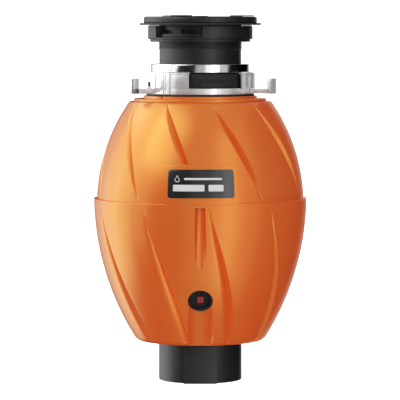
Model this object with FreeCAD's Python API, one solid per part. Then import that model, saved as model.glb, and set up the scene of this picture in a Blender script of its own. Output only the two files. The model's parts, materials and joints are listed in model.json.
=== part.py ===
import FreeCAD, Part
import math
import os

from FreeCAD import Vector

# Kitchen garbage disposal, in millimetres. +Z is up, the axis of the body is the Z axis,
# z = 0 is the flat underside of the base cup and the front of the body faces -Y.
# Angles called "turn" are measured about +Z from the front, positive towards +X.

# ---------------------------------------------------------------- outer body
# Each shell's side is one arc: centre distance from the axis, centre height, arc radius.
LOWER_ARC = (-163.3, 185.5, 269.7)
UPPER_ARC = (-75.9, 175.7, 179.4)
SHELL_WALL = 3.6
# How far a cutter runs past the face that it opens, and a radius outside every wall of the body.
CLEAR = 1.0
BEYOND_R = 130.0
# How far from a height or a radius an edge may lie and still be picked for rounding.
TOUCH = 0.01
NEAR = 0.1
SEAM_Z = 182.5
BODY_BOTTOM_Z = 40.0
SHOULDER_Z = 279.0
CROWN_STEP_Z = 282.0
CROWN_TOP_Z = 284.6
CROWN_STEP_R = 66.0
CROWN_TOP_R = 56.5
CROWN_HOLE_R = 46.0
CROWN_MARK_TURNS = (-12.5, 12.5)
CROWN_MARK_HALF_WIDTH = 0.35
CROWN_MARK_DEPTH = 0.6

LEAF_COUNT = 10
CORNER_R = 4.0
# One leaf groove per row: height, turn, half width towards either side, depth of the crease.
UPPER_LEAF = [(278.0, 9.5, 0.6, -1.2), (268.0, 12.7, 2.0, 0.8), (256.0, 17.2, 3.6, 2.0),
              (242.0, 21.3, 4.4, 2.5), (228.0, 25.2, 4.3, 2.4), (214.0, 29.0, 3.6, 1.9),
              (200.0, 32.2, 2.3, 0.8), (186.5, 35.0, 0.6, -1.2)]
LOWER_LEAF = [(174.0, 4.9, 0.6, -1.2), (160.0, 7.2, 2.6, 0.9), (145.0, 9.2, 3.8, 1.7),
              (125.0, 12.6, 4.8, 2.1), (105.0, 16.0, 5.5, 2.2), (85.0, 18.9, 5.6, 2.2),
              (65.0, 21.0, 5.2, 2.1), (50.0, 22.9, 4.6, 1.9), (35.0, 25.6, 4.0, 1.7)]
LEAF_OUTSET = 2.0
LEAF_SLOPE_DEPTH = 2.0

PANEL_HALF_TURN = 20.4
PANEL_TOP_Z = 220.2
PANEL_PROUD = 2.6
PANEL_CUT_R = (90.0, 120.0)
LABEL_HALF_TURN = 17.6
LABEL_Z = (188.4, 215.8)
LABEL_THICKNESS = 0.9
LABEL_SUNK = 0.3
LABEL_GAP = 0.25
LABEL_TURN_PER_MM = 1 / 1.8
LABEL_CUT_R = (85.0, 125.0)
LINER = [(74.0, 200.0), (92.0, 200.0), (90.5, 213.0), (86.5, 228.0), (80.5, 243.0), (75.5, 252.0),
         (74.0, 252.0)]

# ---------------------------------------------------------------- front recesses of the lower shell
SCREW_TURNS = (0.0, 120.0, 240.0)
CHANNEL_R = 5.6
CHANNEL_AXIS_R = 103.4
CHANNEL_ROOF_Z = 178.8
CHANNEL_FOOT_Z = 112.0
CHANNEL_CUT_FOOT_Z = 100.0
CHANNEL_WALL = 2.4
SCREW_R = 1.3
SCREW_HOLE_R = 1.5
SCREW_PILOT_R = 1.33
SCREW_POST_R = 4.2
SCREW_HEAD_R = 2.6
SCREW_HEAD_HEIGHT = 2.2
SCREW_SLOT_HALF_WIDTH = 0.4
SCREW_SLOT_DEPTH = 0.8
SCREW_AXIS_R = 100.4
SCREW_TOP_Z = 190.0
RESET_Z = 86.4
RESET_SURFACE_R = 87.3
RESET_TILT = 22.8
RESET_HOLE_R = 12.2
RESET_BOSS_WALL = 2.2
RESET_BOSS_DEPTH = 13.0
RESET_BODY_R = 11.95
RESET_BODY_DEPTH = (1.2, 20.0)
RESET_WELL_R = 9.8
RESET_WELL_DEPTH = 6.0
RESET_COLLAR_R = 14.6
RESET_COLLAR_DEPTH = (14.0, 16.5)
RESET_SHAFT_HALF_WIDTH = 3.5
RESET_SHAFT_DEPTH = 13.0
RESET_KEY_HALF_WIDTH = 3.2
RESET_KEY_DEPTH = (3.2, 11.0)
RESET_SKIN_CUT = ((-30.0, 30.0), (-120.0, -50.0), (45.0, 130.0))
SWITCH_R = 9.0
SWITCH_DEPTH = (20.2, 27.0)
TROUGH_HALF_WIDTH = 12.1
TROUGH_TOP_Z = 84.0
TROUGH_TOP_FLOOR_R = 83.2
TROUGH_FOOT_FLOOR_R = 56.5
TROUGH_SIDE_WALL = 2.4
TROUGH_BACK_WALL = 3.0

# ---------------------------------------------------------------- base
BASE_R = 41.5
BASE_WALL = 2.5
BASE_FLOOR = 3.0
BASE_TOP_Z = 43.7
BASE_FLANGE_R = 48.0
BASE_FLANGE_TOP_Z = 46.7
BODY_HOLE_R = 41.8
BASE_EDGE_ROUND = 1.0
COVER_HALF_WIDTH = 16.2
COVER_FACE_Y = -42.7
COVER_BACK_Y = -36.6
COVER_TOP_Z = 39.6
COVER_GAP = 0.1
COVER_EDGE_ROUND = 0.8
COVER_BACKING = 2.5
COVER_SCREW_X = (-9.0, 9.0)
COVER_SCREW_R = 1.4
COVER_POCKET_HALF_WIDTH = 12.5
COVER_POCKET_Z = (9.2, 31.8)
COVER_SKIN = 2.2
TONGUE_HALF_WIDTH = 12.4
TONGUE_REACH = 2.8
TONGUE_Z = ((7.3, 9.1), (31.9, 33.7))
WINDOW_HALF_WIDTH = 13.0
WINDOW_Z = (7.0, 34.0)
INLET_Z = 21.0
INLET_R = 8.0
INLET_COLLAR_R = 12.0
INLET_Y = (37.0, 46.0)
TERMINAL_BLOCK = ((-11.0, 11.0), (-30.0, -18.0), (3.0, 17.0))
TERMINAL_X = (-7.0, 0.0, 7.0)
TERMINAL_Y = -24.0
TERMINAL_WELL_R = 2.2
TERMINAL_WELL_Z = 11.0
TERMINAL_WIRE_R = 1.6
TERMINAL_WIRE_Z = 8.0
TERMINAL_SCREW_R = 2.0
TERMINAL_SCREW_Z = (11.2, 15.0)
RECTIFIER = ((-12.0, 12.0), (2.0, 12.0), (3.0, 23.0))
RECTIFIER_HOLE_R = 1.7
RECTIFIER_HOLE_Z = 18.0

# ---------------------------------------------------------------- motor
SHAFT_R = 5.0
SHAFT_Z = (45.0, 208.0)
CAN_R = 48.0
CAN_WALL = 2.5
CAN_Z = (54.0, 135.8)
BEARING_R = 13.0
BEARING_WIDTH = 8.0
BEARING_BORE_R = 5.05
LOWER_BEARING_Z = 47.0
UPPER_BEARING_Z = 126.5
CORE_R = 37.2
CORE_Z = (82.0, 120.0)
CORE_SLOTS = 12
MAGNET_R = (38.0, 45.3)
MAGNET_Z = (78.0, 124.0)
COMMUTATOR_R = 14.0
COMMUTATOR_Z = (62.5, 76.0)
BRUSH_TIP_R = 14.3
BRUSH_Z = (65.0, 73.0)
BRUSH_HALF_WIDTH = 4.0
BRUSH_X = (10.0, 32.0)
BRUSH_GAP = 0.1
BRUSH_PLATE_R = (17.0, 45.3)
BRUSH_PLATE_Z = (58.5, 60.5)
HOLDER_X = (17.0, 41.0)
HOLDER_HALF_WIDTH = 6.5
HOLDER_Z = (60.5, 76.5)
SPRING_X = (32.1, 40.0)
SPRING_R = 3.0
SPRING_BORE_R = 2.2
SHAFT_CLEARANCE_R = 6.5
CORE_SLOT_MOUTH_HALF_WIDTH = 1.2
CORE_SLOT_HALF_WIDTH = 3.6
CORE_SLOT_FLOOR_R = 20.0
CORE_TOOTH_TIP = 3.0
BAR_HALF_WIDTH = 3.4
BAR_R = (20.3, 34.0)
WINDING_R = (18.0, 34.5)
WINDING_HEIGHT = 4.5
WINDING_GAP = 0.2
COMMUTATOR_BARS = 24
COMMUTATOR_GAP_HALF_WIDTH = 0.25
COMMUTATOR_GAP_DEPTH = 1.5
MAGNET_TURN = (-38.0, 38.0)
MAGNET_REPEAT = (0.0, 90.0, 180.0, 270.0)
BOLT_TURNS = (45.0, 135.0, 225.0, 315.0)
BOLT_CIRCLE_R = 55.0
BOLT_R = 2.5
BOLT_HEAD_R = 4.4
BOLT_HEAD_Z = (97.0, 100.0)
BOLT_TOP_Z = 146.0
BOLT_BOSS_R = 5.5
BOLT_BOSS_TOP_Z = 148.0

# ---------------------------------------------------------------- wet end
CHAMBER_Z = (136.0, 192.0)
CHAMBER_R = 72.0
CHAMBER_WALL = 3.0
CHAMBER_BOSS_R = 19.0
CHAMBER_BOSS_TOP_Z = 152.0
SEAL_R = 12.0
SEAL_BORE_R = 5.08
SEAL_Z = (145.2, 152.6)
SEAL_GAP = 0.2
CHAMBER_FLANGE_R = 77.0
CHAMBER_GASKET_R = 76.8
OUTLET_Z = 158.0
OUTLET_R = 20.0
OUTLET_BORE_R = 17.0
OUTLET_END_Y = 150.0
OUTLET_SHOULDER_Y = 110.0
OUTLET_SHOULDER_DROP = 0.6
OUTLET_HOLE_R = 21.4
OUTLET_FLANGE_R = 23.0
OUTLET_STUB_Y = (64.0, 78.0)
OUTLET_FLANGE_Y = (80.0, 84.0)
OUTLET_SCREW_X = (-27.5, 27.5)
OUTLET_SCREW_R = 2.2
OUTLET_SCREW_HOLE_R = 2.3
OUTLET_SCREW_HEAD_R = 4.0
OUTLET_SCREW_Y = (74.0, 84.0, 87.0)
OUTLET_EAR_X = 32.0
OUTLET_EAR_HALF_HEIGHT = 7.0
LUG_BLOCK_X = (-32.0, -23.2)
LUG_BLOCK_Y = (62.0, 79.8)
LUG_BLOCK_HALF_HEIGHT = 6.0
HOPPER_R = 70.0
HOPPER_BORE_R = 67.0
HOPPER_Z = (193.0, 258.0)
NECK_R = 43.0
NECK_BORE_R = 40.0
NECK_FOOT_Z = 276.0
NECK_TOP_Z = 299.0
NECK_LIP_R = 45.5
NECK_LIP_HEIGHT = 2.5
HOPPER_CONE_DROP = 1.5
SHREDDER_R = (62.6, 66.9)
SHREDDER_Z = (193.0, 226.0)
SHREDDER_TEETH = 30
SHREDDER_NOTCH_HALF_WIDTH = 2.2
SHREDDER_NOTCH_TOP_Z = 212.0
TABLE_R = 61.5
TABLE_Z = (200.0, 202.6)
TABLE_HUB_Z = 192.5
TABLE_HUB_R = 15.0
TABLE_DRAIN_R = 3.2
TABLE_DRAIN_CIRCLE_R = 50.0
TABLE_DRAINS = 12
TABLE_NUT_FLATS = 17.0
TABLE_NUT_HEIGHT = 5.0
IMPELLER_PIN_R = 34.0
IMPELLER_Z = (202.9, 206.9)
IMPELLER_TOP_Z = 216.0
IMPELLER_HALF_WIDTH = 9.0
IMPELLER_REACH = 15.0
IMPELLER_LUG_REACH = 9.5
PIN_R = 4.0
PIN_FOOT_Z = 198.0
PIN_FOOT_R = 5.5
PIN_HEAD_R = 6.0
PIN_HEAD_HEIGHT = 2.0
PIN_HEAD_GAP = 0.3
PIN_HOLE_R = 4.06
DISHWASHER_Z = 232.0
DISHWASHER_HOLE_R = 15.4
LINER_HOLE_R = 16.0
DISHWASHER_R = 11.0
DISHWASHER_BORE_R = 8.5
DISHWASHER_END_R = 123.0
DISHWASHER_SHOULDER_R = 101.0
DISHWASHER_COLLAR_R = 15.0
GROMMET_R = 15.2
GROMMET_DEPTH = 3.0

# ---------------------------------------------------------------- sink mount
GASKET_TOP_Z = 286.4
GASKET_R = (48.9, 54.0)
RING_Z = (286.7, 308.0)
RING_R = (51.5, 53.0)
RING_TOP_BORE_R = 49.2
RING_TOP_THICKNESS = 1.4
RING_WINDOW_TURN = (-12.4, 51.0)
RING_WINDOW_Z = (292.6, 306.4)
RING_REPEAT = (0.0, 120.0, 240.0)
RING_SEAM_TURN = 19.0
RING_SEAM_HALF_WIDTH = 0.3
RING_SEAM_DEPTH = 0.7
EAR_TURN = -55.6
EAR_BAR_Z = (287.4, 292.5)
EAR_TIP_Z = 302.5
EAR_R = (54.4, 82.4)
EAR_TIP_R = 73.5
EAR_THICKNESS = 2.0
EAR_FLANGE_WIDTH = 10.5
PAD_TURN = (-65.5, -34.0)
PAD_GROOVE_TURN = (-40.5, -36.5)
PAD_R = 54.6
PAD_GAP = 0.4
PAD_GROOVE_DEPTH = 0.8
EAR_ROOT_GAP = 0.2
EAR_ROOT_TOP_Z = 305.0
EAR_RELIEF_X = (1.0, 4.0)
CUSHION_R = 47.5
CUSHION_FOOT_R = 48.6
CUSHION_GAP = 0.1
CUSHION_STEP_Z = 300.0
CUSHION_Z = (286.6, 307.4)
LUG_TURN = (0.5, 29.0)
LUG_Z = (293.2, 298.2)
LUG_R = 52.4
BAND_R = (47.6, 49.0)
BAND_Z = (308.3, 316.3)
BAND_BORE_R = 41.1
BAND_TOP_THICKNESS = 1.5
BAND_ROUND = 0.5
SLEEVE_R = 40.8
SLEEVE_BORE_R = 38.2
SLEEVE_FOOT_Z = 303.0
THREAD_R = 41.8
THREAD_ROOT_R = 40.9
THREAD_PITCH = 2.1
THREAD_Z = (329.5, 353.0)
THREAD_CREST = (0.4, 0.6)
RIM_Z = (357.0, 363.5)
RIM_OUTLINE = [(55.5, 357.0), (56.5, 358.0), (56.5, 361.5), (55.9, 362.9), (54.5, 363.5), (50.0, 363.5),
               (44.0, 359.2), (39.8, 357.6), (38.2, 355.4)]
GUARD_Z = (318.0, 329.0)
GUARD_HOLE_R = 17.0
GUARD_FLOOR_R = 34.0
GUARD_WALL_R = 35.5
GUARD_SKIN = 3.0
GUARD_GAP = 0.1
GUARD_SLITS = 6
GUARD_SLIT_HALF_WIDTH = 0.6
GUARD_SLIT_R = (10.0, 31.0)
STOPPER = [(0.0, 350.0), (36.0, 350.0), (36.0, 352.0), (34.0, 352.0), (34.0, 355.0),
           (36.0, 355.0), (36.6, 357.6), (42.6, 359.9), (42.6, 361.5), (30.0, 361.5),
           (28.0, 358.5), (9.0, 358.5), (8.0, 361.0), (8.0, 364.3), (0.0, 364.3)]
STOPPER_TAB_R = (29.0, 55.0)
STOPPER_TAB_Z = (361.0, 364.8)
STOPPER_TAB_HALF_TURN = 9.0
STOPPER_TAB_ROUND = 0.6
STOPPER_TAB_GAP = 0.3
STOPPER_RIM_R = 42.4
STOPPER_SEAL_R = (34.1, 37.85)
STOPPER_SEAL_Z = (352.1, 354.9)
SNAP_RING_R = 44.5
SNAP_RING_Z = (312.6, 314.4)
SNAP_RING_TURN = (14.0, 346.0)
FLANGE_LEDGE_R = 46.8
FLANGE_LEDGE_Z = (308.8, 312.0)
NUT_Z = (338.3, 354.2)
NUT_LIP_Z = 341.5
NUT_LIP_R = 50.0
NUT_R = 52.2
NUT_WALL = 2.2
NUT_INNER_R = 44.0
NUT_BORE_R = 42.15
NUT_LEDGE_R = 47.0
NUT_POCKET_TURN = (-57.5, 2.5)
NUT_SLOT_TURNS = ((-54.0, -38.0), (-24.4, -3.0))
NUT_SLOT_Z = (346.5, 350.3)
NUT_FLOOR_Z = 342.7
NUT_ROOF_Z = 353.0
NUT_LEDGE_Z = (342.0, 346.3)
NUT_RIB_HALF_WIDTH = 0.9
NUT_RIB_OFFSET = 1.2
NUT_RIB_TURNS = [33.0, 62.0, 91.0]
WASHER_R = 51.0
WASHER_BORE_R = 42.15
WASHER_GAP = 0.1
SEAL_RING_R = 60.5
SEAL_RING_BORE_R = 41.1
SEAL_RING_THICKNESS = 2.0
SEAL_RING_ROUND = 0.7
STOPPER_TAB_TURNS = (-23.6, 96.4, 216.4)

OPPOSITE = (0.0, 180.0)
UP = Vector(0, 0, 1)
ORIGIN = Vector(0, 0, 0)


def cylinder(radius, z_low, z_high, x=0.0, y=0.0):
    return Part.makeCylinder(radius, z_high - z_low, Vector(x, y, z_low))


def ring(bore, radius, z_low, z_high, x=0.0, y=0.0):
    return cylinder(radius, z_low, z_high, x, y).cut(cylinder(bore, z_low - 1, z_high + 1, x, y))


def box(x_span, y_span, z_span):
    corner = Vector(x_span[0], y_span[0], z_span[0])
    return Part.makeBox(x_span[1] - x_span[0], y_span[1] - y_span[0], z_span[1] - z_span[0], corner)


def both_ways(half_span):
    return (-half_span, half_span)


def turned(shape, angle):
    copy = shape.copy()
    copy.rotate(ORIGIN, UP, angle)
    return copy


def sector(bore, radius, z_span, turn_span):
    height = z_span[1] - z_span[0]
    spread = turn_span[1] - turn_span[0]
    outer = Part.makeCylinder(radius, height, Vector(0, 0, z_span[0]), UP, spread)
    inner = Part.makeCylinder(bore, height + 2, Vector(0, 0, z_span[0] - 1), UP, 360)
    return turned(outer.cut(inner), turn_span[0] - 90)


def rod(radius, start, end):
    along = end.sub(start)
    return Part.makeCylinder(radius, along.Length, start, along)


def join(shapes):
    shapes = list(shapes)
    return shapes[0].multiFuse(shapes[1:]).removeSplitter()


def carve(shape, cutters):
    for cutter in cutters:
        shape = shape.cut(cutter)
    return shape


def largest(shape):
    return sorted(shape.Solids, key=lambda solid: solid.Volume)[-1]


def around(count, start=0.0):
    return [start + 360.0 * index / count for index in range(count)]


def copies(shape, angles):
    return [turned(shape, angle) for angle in angles]


def lathe(outline):
    corners = [Vector(radius, 0, z) for radius, z in outline]
    face = Part.Face(Part.makePolygon(corners + corners[:1]))
    return face.revolve(ORIGIN, UP, 360)


def radius_xy(radius, turn):
    angle = math.radians(turn)
    return (radius * math.sin(angle), -radius * math.cos(angle))


def arc_point(arc, grow, z):
    centre_r, centre_z, arc_r = arc
    return Vector(centre_r + math.sqrt((arc_r + grow) ** 2 - (z - centre_z) ** 2), 0, z)


def arc_lathe(arc, grow, z_low, z_high):
    low = arc_point(arc, grow, z_low)
    high = arc_point(arc, grow, z_high)
    middle = arc_point(arc, grow, (z_low + z_high) / 2)
    foot = Vector(0, 0, z_low)
    head = Vector(0, 0, z_high)
    edges = [Part.makeLine(foot, low), Part.Arc(low, middle, high).toShape(),
             Part.makeLine(high, head), Part.makeLine(head, foot)]
    return Part.Face(Part.Wire(edges)).revolve(ORIGIN, UP, 360)


def leaf_groove(arc, leaf):
    sections = []
    for z, turn, half_width, depth in leaf:
        surface = arc_point(arc, 0, z).x
        half_turn = math.degrees(half_width / surface)
        slope_depth = depth + LEAF_SLOPE_DEPTH
        reach = half_turn * (slope_depth + LEAF_OUTSET) / slope_depth
        mouth_r = surface + LEAF_OUTSET
        outline = [(mouth_r, turn - reach), (surface - depth, turn), (mouth_r, turn + reach)]
        corners = [Vector(*radius_xy(radius, angle), z) for radius, angle in outline]
        sections.append(Part.makePolygon(corners + corners[:1]))
    return Part.makeLoft(sections, True, False)


def leaf_grooves(arc, leaf):
    return copies(leaf_groove(arc, leaf), around(LEAF_COUNT))


# ---------------------------------------------------------------- shells
def inlet_rod(radius, near, far):
    return rod(radius, Vector(0, near, DISHWASHER_Z), Vector(0, far, DISHWASHER_Z))


def outlet_rod(radius, near, far, x=0.0):
    return rod(radius, Vector(x, near, OUTLET_Z), Vector(x, far, OUTLET_Z))


def reset_direction():
    tilt = math.radians(RESET_TILT)
    return Vector(0, -math.cos(tilt), -math.sin(tilt))


def reset_point(depth):
    surface = Vector(0, -RESET_SURFACE_R, RESET_Z)
    return surface.sub(reset_direction() * depth)


def reset_rod(radius, depth_near, depth_far):
    return rod(radius, reset_point(depth_near), reset_point(depth_far))


def trough(side, back):
    foot_z = BODY_BOTTOM_Z - 5 * CLEAR
    corners = [(-TROUGH_FOOT_FLOOR_R + back, foot_z), (-BEYOND_R, foot_z), (-BEYOND_R, TROUGH_TOP_Z + side),
               (-TROUGH_TOP_FLOOR_R + back, TROUGH_TOP_Z + side)]
    points = [Vector(-TROUGH_HALF_WIDTH - side, y, z) for y, z in corners]
    face = Part.Face(Part.makePolygon(points + points[:1]))
    return face.extrude(Vector(2 * (TROUGH_HALF_WIDTH + side), 0, 0))


def lower_bosses():
    channel = cylinder(CHANNEL_R + CHANNEL_WALL, CHANNEL_FOOT_Z, SEAM_Z, 0, -CHANNEL_AXIS_R)
    reset_boss = reset_rod(RESET_HOLE_R + RESET_BOSS_WALL, -6 * CLEAR, RESET_BOSS_DEPTH)
    return join(copies(channel, SCREW_TURNS) + [trough(TROUGH_SIDE_WALL, TROUGH_BACK_WALL), reset_boss])


def lower_openings():
    channel = cylinder(CHANNEL_R, CHANNEL_CUT_FOOT_Z, CHANNEL_ROOF_Z, 0, -CHANNEL_AXIS_R)
    screw_hole = cylinder(SCREW_HOLE_R, CHANNEL_ROOF_Z - CLEAR, SEAM_Z + CLEAR, 0, -SCREW_AXIS_R)
    outlet = outlet_rod(OUTLET_HOLE_R, BASE_R, BEYOND_R)
    return copies(channel, SCREW_TURNS) + copies(screw_hole, SCREW_TURNS) + [
        trough(0.0, 0.0), reset_rod(RESET_HOLE_R, -20 * CLEAR, RESET_BOSS_DEPTH + 8 * CLEAR), outlet]


def lower_shell():
    outer = arc_lathe(LOWER_ARC, 0, BODY_BOTTOM_Z, SEAM_Z)
    corner = [edge for edge in outer.Edges
              if edge.BoundBox.ZMax < BODY_BOTTOM_Z + TOUCH and len(edge.Vertexes) == 1]
    outer = outer.makeFillet(CORNER_R, corner)
    hollow = arc_lathe(LOWER_ARC, -SHELL_WALL, BODY_BOTTOM_Z + SHELL_WALL, SEAM_Z)
    shell = carve(outer, [hollow, cylinder(BODY_HOLE_R, 0, BODY_BOTTOM_Z + CORNER_R)])
    shell = shell.fuse(lower_bosses().common(outer))
    return largest(carve(shell, lower_openings() + leaf_grooves(LOWER_ARC, LOWER_LEAF)))


def crown():
    steps = join([ring(CROWN_HOLE_R, CROWN_STEP_R, SHOULDER_Z, CROWN_STEP_Z),
                  ring(CROWN_HOLE_R, CROWN_TOP_R, CROWN_STEP_Z, CROWN_TOP_Z)])
    mark = box(both_ways(CROWN_MARK_HALF_WIDTH),
               (-CROWN_TOP_R - CLEAR, -CROWN_TOP_R + CROWN_MARK_DEPTH), (CROWN_STEP_Z, CROWN_TOP_Z + CLEAR))
    return carve(steps, copies(mark, CROWN_MARK_TURNS))


def upper_shell():
    outer = arc_lathe(UPPER_ARC, 0, SEAM_Z, SHOULDER_Z)
    fluted = carve(outer, leaf_grooves(UPPER_ARC, UPPER_LEAF))
    panel = sector(*PANEL_CUT_R, (SEAM_Z, PANEL_TOP_Z), both_ways(PANEL_HALF_TURN))
    fluted = fluted.fuse(panel.common(arc_lathe(UPPER_ARC, PANEL_PROUD, SEAM_Z, SHOULDER_Z)))
    hollow = arc_lathe(UPPER_ARC, -SHELL_WALL, SEAM_Z, SHOULDER_Z - SHELL_WALL)
    throat = cylinder(CROWN_HOLE_R, SHOULDER_Z - 10 * CLEAR, CROWN_TOP_Z)
    shell = carve(fluted, [hollow, throat]).fuse(crown())
    post = cylinder(SCREW_POST_R, SEAM_Z, SCREW_TOP_Z + 2 * CLEAR, 0, -SCREW_AXIS_R).common(outer)
    shell = join([shell] + copies(post, SCREW_TURNS))
    pilot = cylinder(SCREW_PILOT_R, SEAM_Z - CLEAR, SCREW_TOP_Z + CLEAR / 2, 0, -SCREW_AXIS_R)
    shell = carve(shell, copies(pilot, SCREW_TURNS))
    return largest(carve(shell, [inlet_rod(DISHWASHER_HOLE_R, BASE_R, BEYOND_R), label_plate_at(LABEL_GAP)]))


def label_plate_at(margin):
    base = PANEL_PROUD - LABEL_SUNK
    half_turn = LABEL_HALF_TURN + margin * LABEL_TURN_PER_MM
    band = sector(*LABEL_CUT_R, (LABEL_Z[0] - margin, LABEL_Z[1] + margin), both_ways(half_turn))
    body = arc_lathe(UPPER_ARC, base + LABEL_THICKNESS, SEAM_Z, SHOULDER_Z)
    return body.cut(arc_lathe(UPPER_ARC, base, SEAM_Z, SHOULDER_Z)).common(band)


def label_plate():
    return largest(label_plate_at(0.0))


def shell_screws():
    head_z = CHANNEL_ROOF_Z - SCREW_HEAD_HEIGHT
    head = cylinder(SCREW_HEAD_R, head_z, CHANNEL_ROOF_Z, 0, -SCREW_AXIS_R)
    reach = SCREW_HEAD_R + CLEAR
    slot = box(both_ways(SCREW_SLOT_HALF_WIDTH), (-SCREW_AXIS_R - reach, -SCREW_AXIS_R + reach),
               (head_z - CLEAR, head_z + SCREW_SLOT_DEPTH))
    shank = cylinder(SCREW_R, head_z + CLEAR, SCREW_TOP_Z, 0, -SCREW_AXIS_R)
    return Part.makeCompound(copies(head.cut(slot).fuse(shank), SCREW_TURNS))


def acoustic_liner():
    return lathe(LINER).cut(inlet_rod(LINER_HOLE_R, BASE_R, BEYOND_R))


# ---------------------------------------------------------------- base
def base_shell():
    cup = join([cylinder(BASE_R, 0, BASE_TOP_Z), cylinder(BASE_FLANGE_R, BASE_TOP_Z, BASE_FLANGE_TOP_Z)])
    cup = cup.makeFillet(BASE_EDGE_ROUND, [edge for edge in cup.Edges if edge.BoundBox.ZMax < TOUCH])
    cup = cup.cut(cylinder(BASE_R - BASE_WALL, BASE_FLOOR, BASE_FLANGE_TOP_Z + CLEAR))
    half_width = COVER_HALF_WIDTH + COVER_GAP
    return cup.cut(box(both_ways(half_width), (-BASE_R - CLEAR, COVER_BACK_Y + COVER_GAP),
                       (-CLEAR, COVER_TOP_Z + COVER_GAP)))


def base_cup():
    half_width = COVER_HALF_WIDTH + COVER_BACKING
    seat_y = COVER_BACK_Y + COVER_GAP
    backing = box(both_ways(half_width), (seat_y, seat_y + COVER_BACKING), (0, BASE_TOP_Z))
    cup = base_shell().fuse(backing.common(cylinder(BASE_R - COVER_GAP * 5, 0, BASE_TOP_Z)))
    cup = cup.cut(box(both_ways(WINDOW_HALF_WIDTH), (-BASE_R - CLEAR, COVER_BACK_Y + 3 * CLEAR), WINDOW_Z))
    cup = cup.fuse(rod(INLET_COLLAR_R, Vector(0, INLET_Y[0], INLET_Z), Vector(0, INLET_Y[1], INLET_Z)))
    bore_y = (INLET_Y[0] - 5 * CLEAR, INLET_Y[1] + CLEAR)
    cup = cup.cut(rod(INLET_R, Vector(0, bore_y[0], INLET_Z), Vector(0, bore_y[1], INLET_Z)))
    screw_y = seat_y + COVER_BACKING / 2 - COVER_GAP * 1.5
    holes = [cylinder(COVER_SCREW_R, -CLEAR, BASE_FLOOR + 3 * CLEAR, x, screw_y) for x in COVER_SCREW_X]
    return largest(carve(cup, holes).removeSplitter())


def terminal_cover():
    cover = box(both_ways(COVER_HALF_WIDTH), (COVER_FACE_Y, COVER_BACK_Y), (0, COVER_TOP_Z))
    upright = [edge for edge in cover.Edges
               if edge.BoundBox.ZLength > COVER_TOP_Z / 2 and edge.BoundBox.YMax < COVER_FACE_Y + CLEAR]
    cover = cover.makeFillet(COVER_EDGE_ROUND, upright)
    pocket = box(both_ways(COVER_POCKET_HALF_WIDTH),
                 (COVER_FACE_Y + COVER_SKIN, COVER_BACK_Y + CLEAR), COVER_POCKET_Z)
    tongues = [box(both_ways(TONGUE_HALF_WIDTH), (COVER_BACK_Y - CLEAR, COVER_BACK_Y + TONGUE_REACH), span)
               for span in TONGUE_Z]
    return join([cover.cut(pocket)] + tongues)


def terminal_block():
    block_x, block_y, block_z = TERMINAL_BLOCK
    wells = [cylinder(TERMINAL_WELL_R, TERMINAL_WELL_Z, block_z[1] + CLEAR, x, TERMINAL_Y)
             for x in TERMINAL_X]
    wires = [rod(TERMINAL_WIRE_R, Vector(x, block_y[0] - CLEAR, TERMINAL_WIRE_Z),
                 Vector(x, block_y[1] + CLEAR, TERMINAL_WIRE_Z)) for x in TERMINAL_X]
    return carve(box(block_x, block_y, block_z), wells + wires)


def terminal_screw(x):
    reach = TERMINAL_SCREW_R + CLEAR
    slot = box((x - SCREW_SLOT_HALF_WIDTH, x + SCREW_SLOT_HALF_WIDTH),
               (TERMINAL_Y - reach, TERMINAL_Y + reach),
               (TERMINAL_SCREW_Z[1] - CLEAR, TERMINAL_SCREW_Z[1] + CLEAR))
    return cylinder(TERMINAL_SCREW_R, TERMINAL_SCREW_Z[0], TERMINAL_SCREW_Z[1], x, TERMINAL_Y).cut(slot)


def terminal_screws():
    return Part.makeCompound([terminal_screw(x) for x in TERMINAL_X])


def rectifier():
    block_x, block_y, block_z = RECTIFIER
    hole = rod(RECTIFIER_HOLE_R, Vector(0, block_y[0] - CLEAR, RECTIFIER_HOLE_Z),
               Vector(0, block_y[1] + CLEAR, RECTIFIER_HOLE_Z))
    return box(block_x, block_y, block_z).cut(hole)


# ---------------------------------------------------------------- reset switch
def reset_housing():
    body = reset_rod(RESET_BODY_R, RESET_BODY_DEPTH[0], RESET_BODY_DEPTH[1])
    body = body.cut(reset_rod(RESET_WELL_R, -5 * CLEAR, RESET_WELL_DEPTH))
    body = body.fuse(reset_rod(RESET_COLLAR_R, RESET_COLLAR_DEPTH[0], RESET_COLLAR_DEPTH[1]))
    shaft = square_prism(RESET_SHAFT_HALF_WIDTH, -5 * CLEAR, RESET_SHAFT_DEPTH)
    return carve(body, [shaft, outside_lower_profile()])


def outside_lower_profile():
    cut_x, cut_y, cut_z = RESET_SKIN_CUT
    return box(cut_x, cut_y, cut_z).cut(arc_lathe(LOWER_ARC, -CLEAR, BODY_BOTTOM_Z, SEAM_Z))


def square_prism(half_side, depth_near, depth_far):
    prism = Part.makeBox(2 * half_side, 2 * half_side, depth_far - depth_near,
                         Vector(-half_side, -half_side, 0))
    prism.rotate(ORIGIN, Vector(1, 0, 0), RESET_TILT - 90)
    prism.translate(reset_point(depth_near))
    return prism


def reset_button():
    return square_prism(RESET_KEY_HALF_WIDTH, RESET_KEY_DEPTH[0], RESET_KEY_DEPTH[1])


def overload_switch():
    return reset_rod(SWITCH_R, SWITCH_DEPTH[0], SWITCH_DEPTH[1])


# ---------------------------------------------------------------- motor
def motor_can():
    can = cylinder(CAN_R, CAN_Z[0], CAN_Z[1])
    can = can.cut(cylinder(CAN_R - CAN_WALL, CAN_Z[0] + CAN_WALL, CAN_Z[1] + CLEAR))
    can = can.fuse(cylinder(BEARING_R + 2.2, LOWER_BEARING_Z - 1.6, CAN_Z[0] + CLEAR))
    can = can.cut(cylinder(BEARING_R, LOWER_BEARING_Z, CAN_Z[0] + 10 * CLEAR))
    shaft_hole = cylinder(SHAFT_CLEARANCE_R, LOWER_BEARING_Z - 10 * CLEAR, CAN_Z[0] + CLEAR)
    return can.cut(shaft_hole).removeSplitter()


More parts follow.
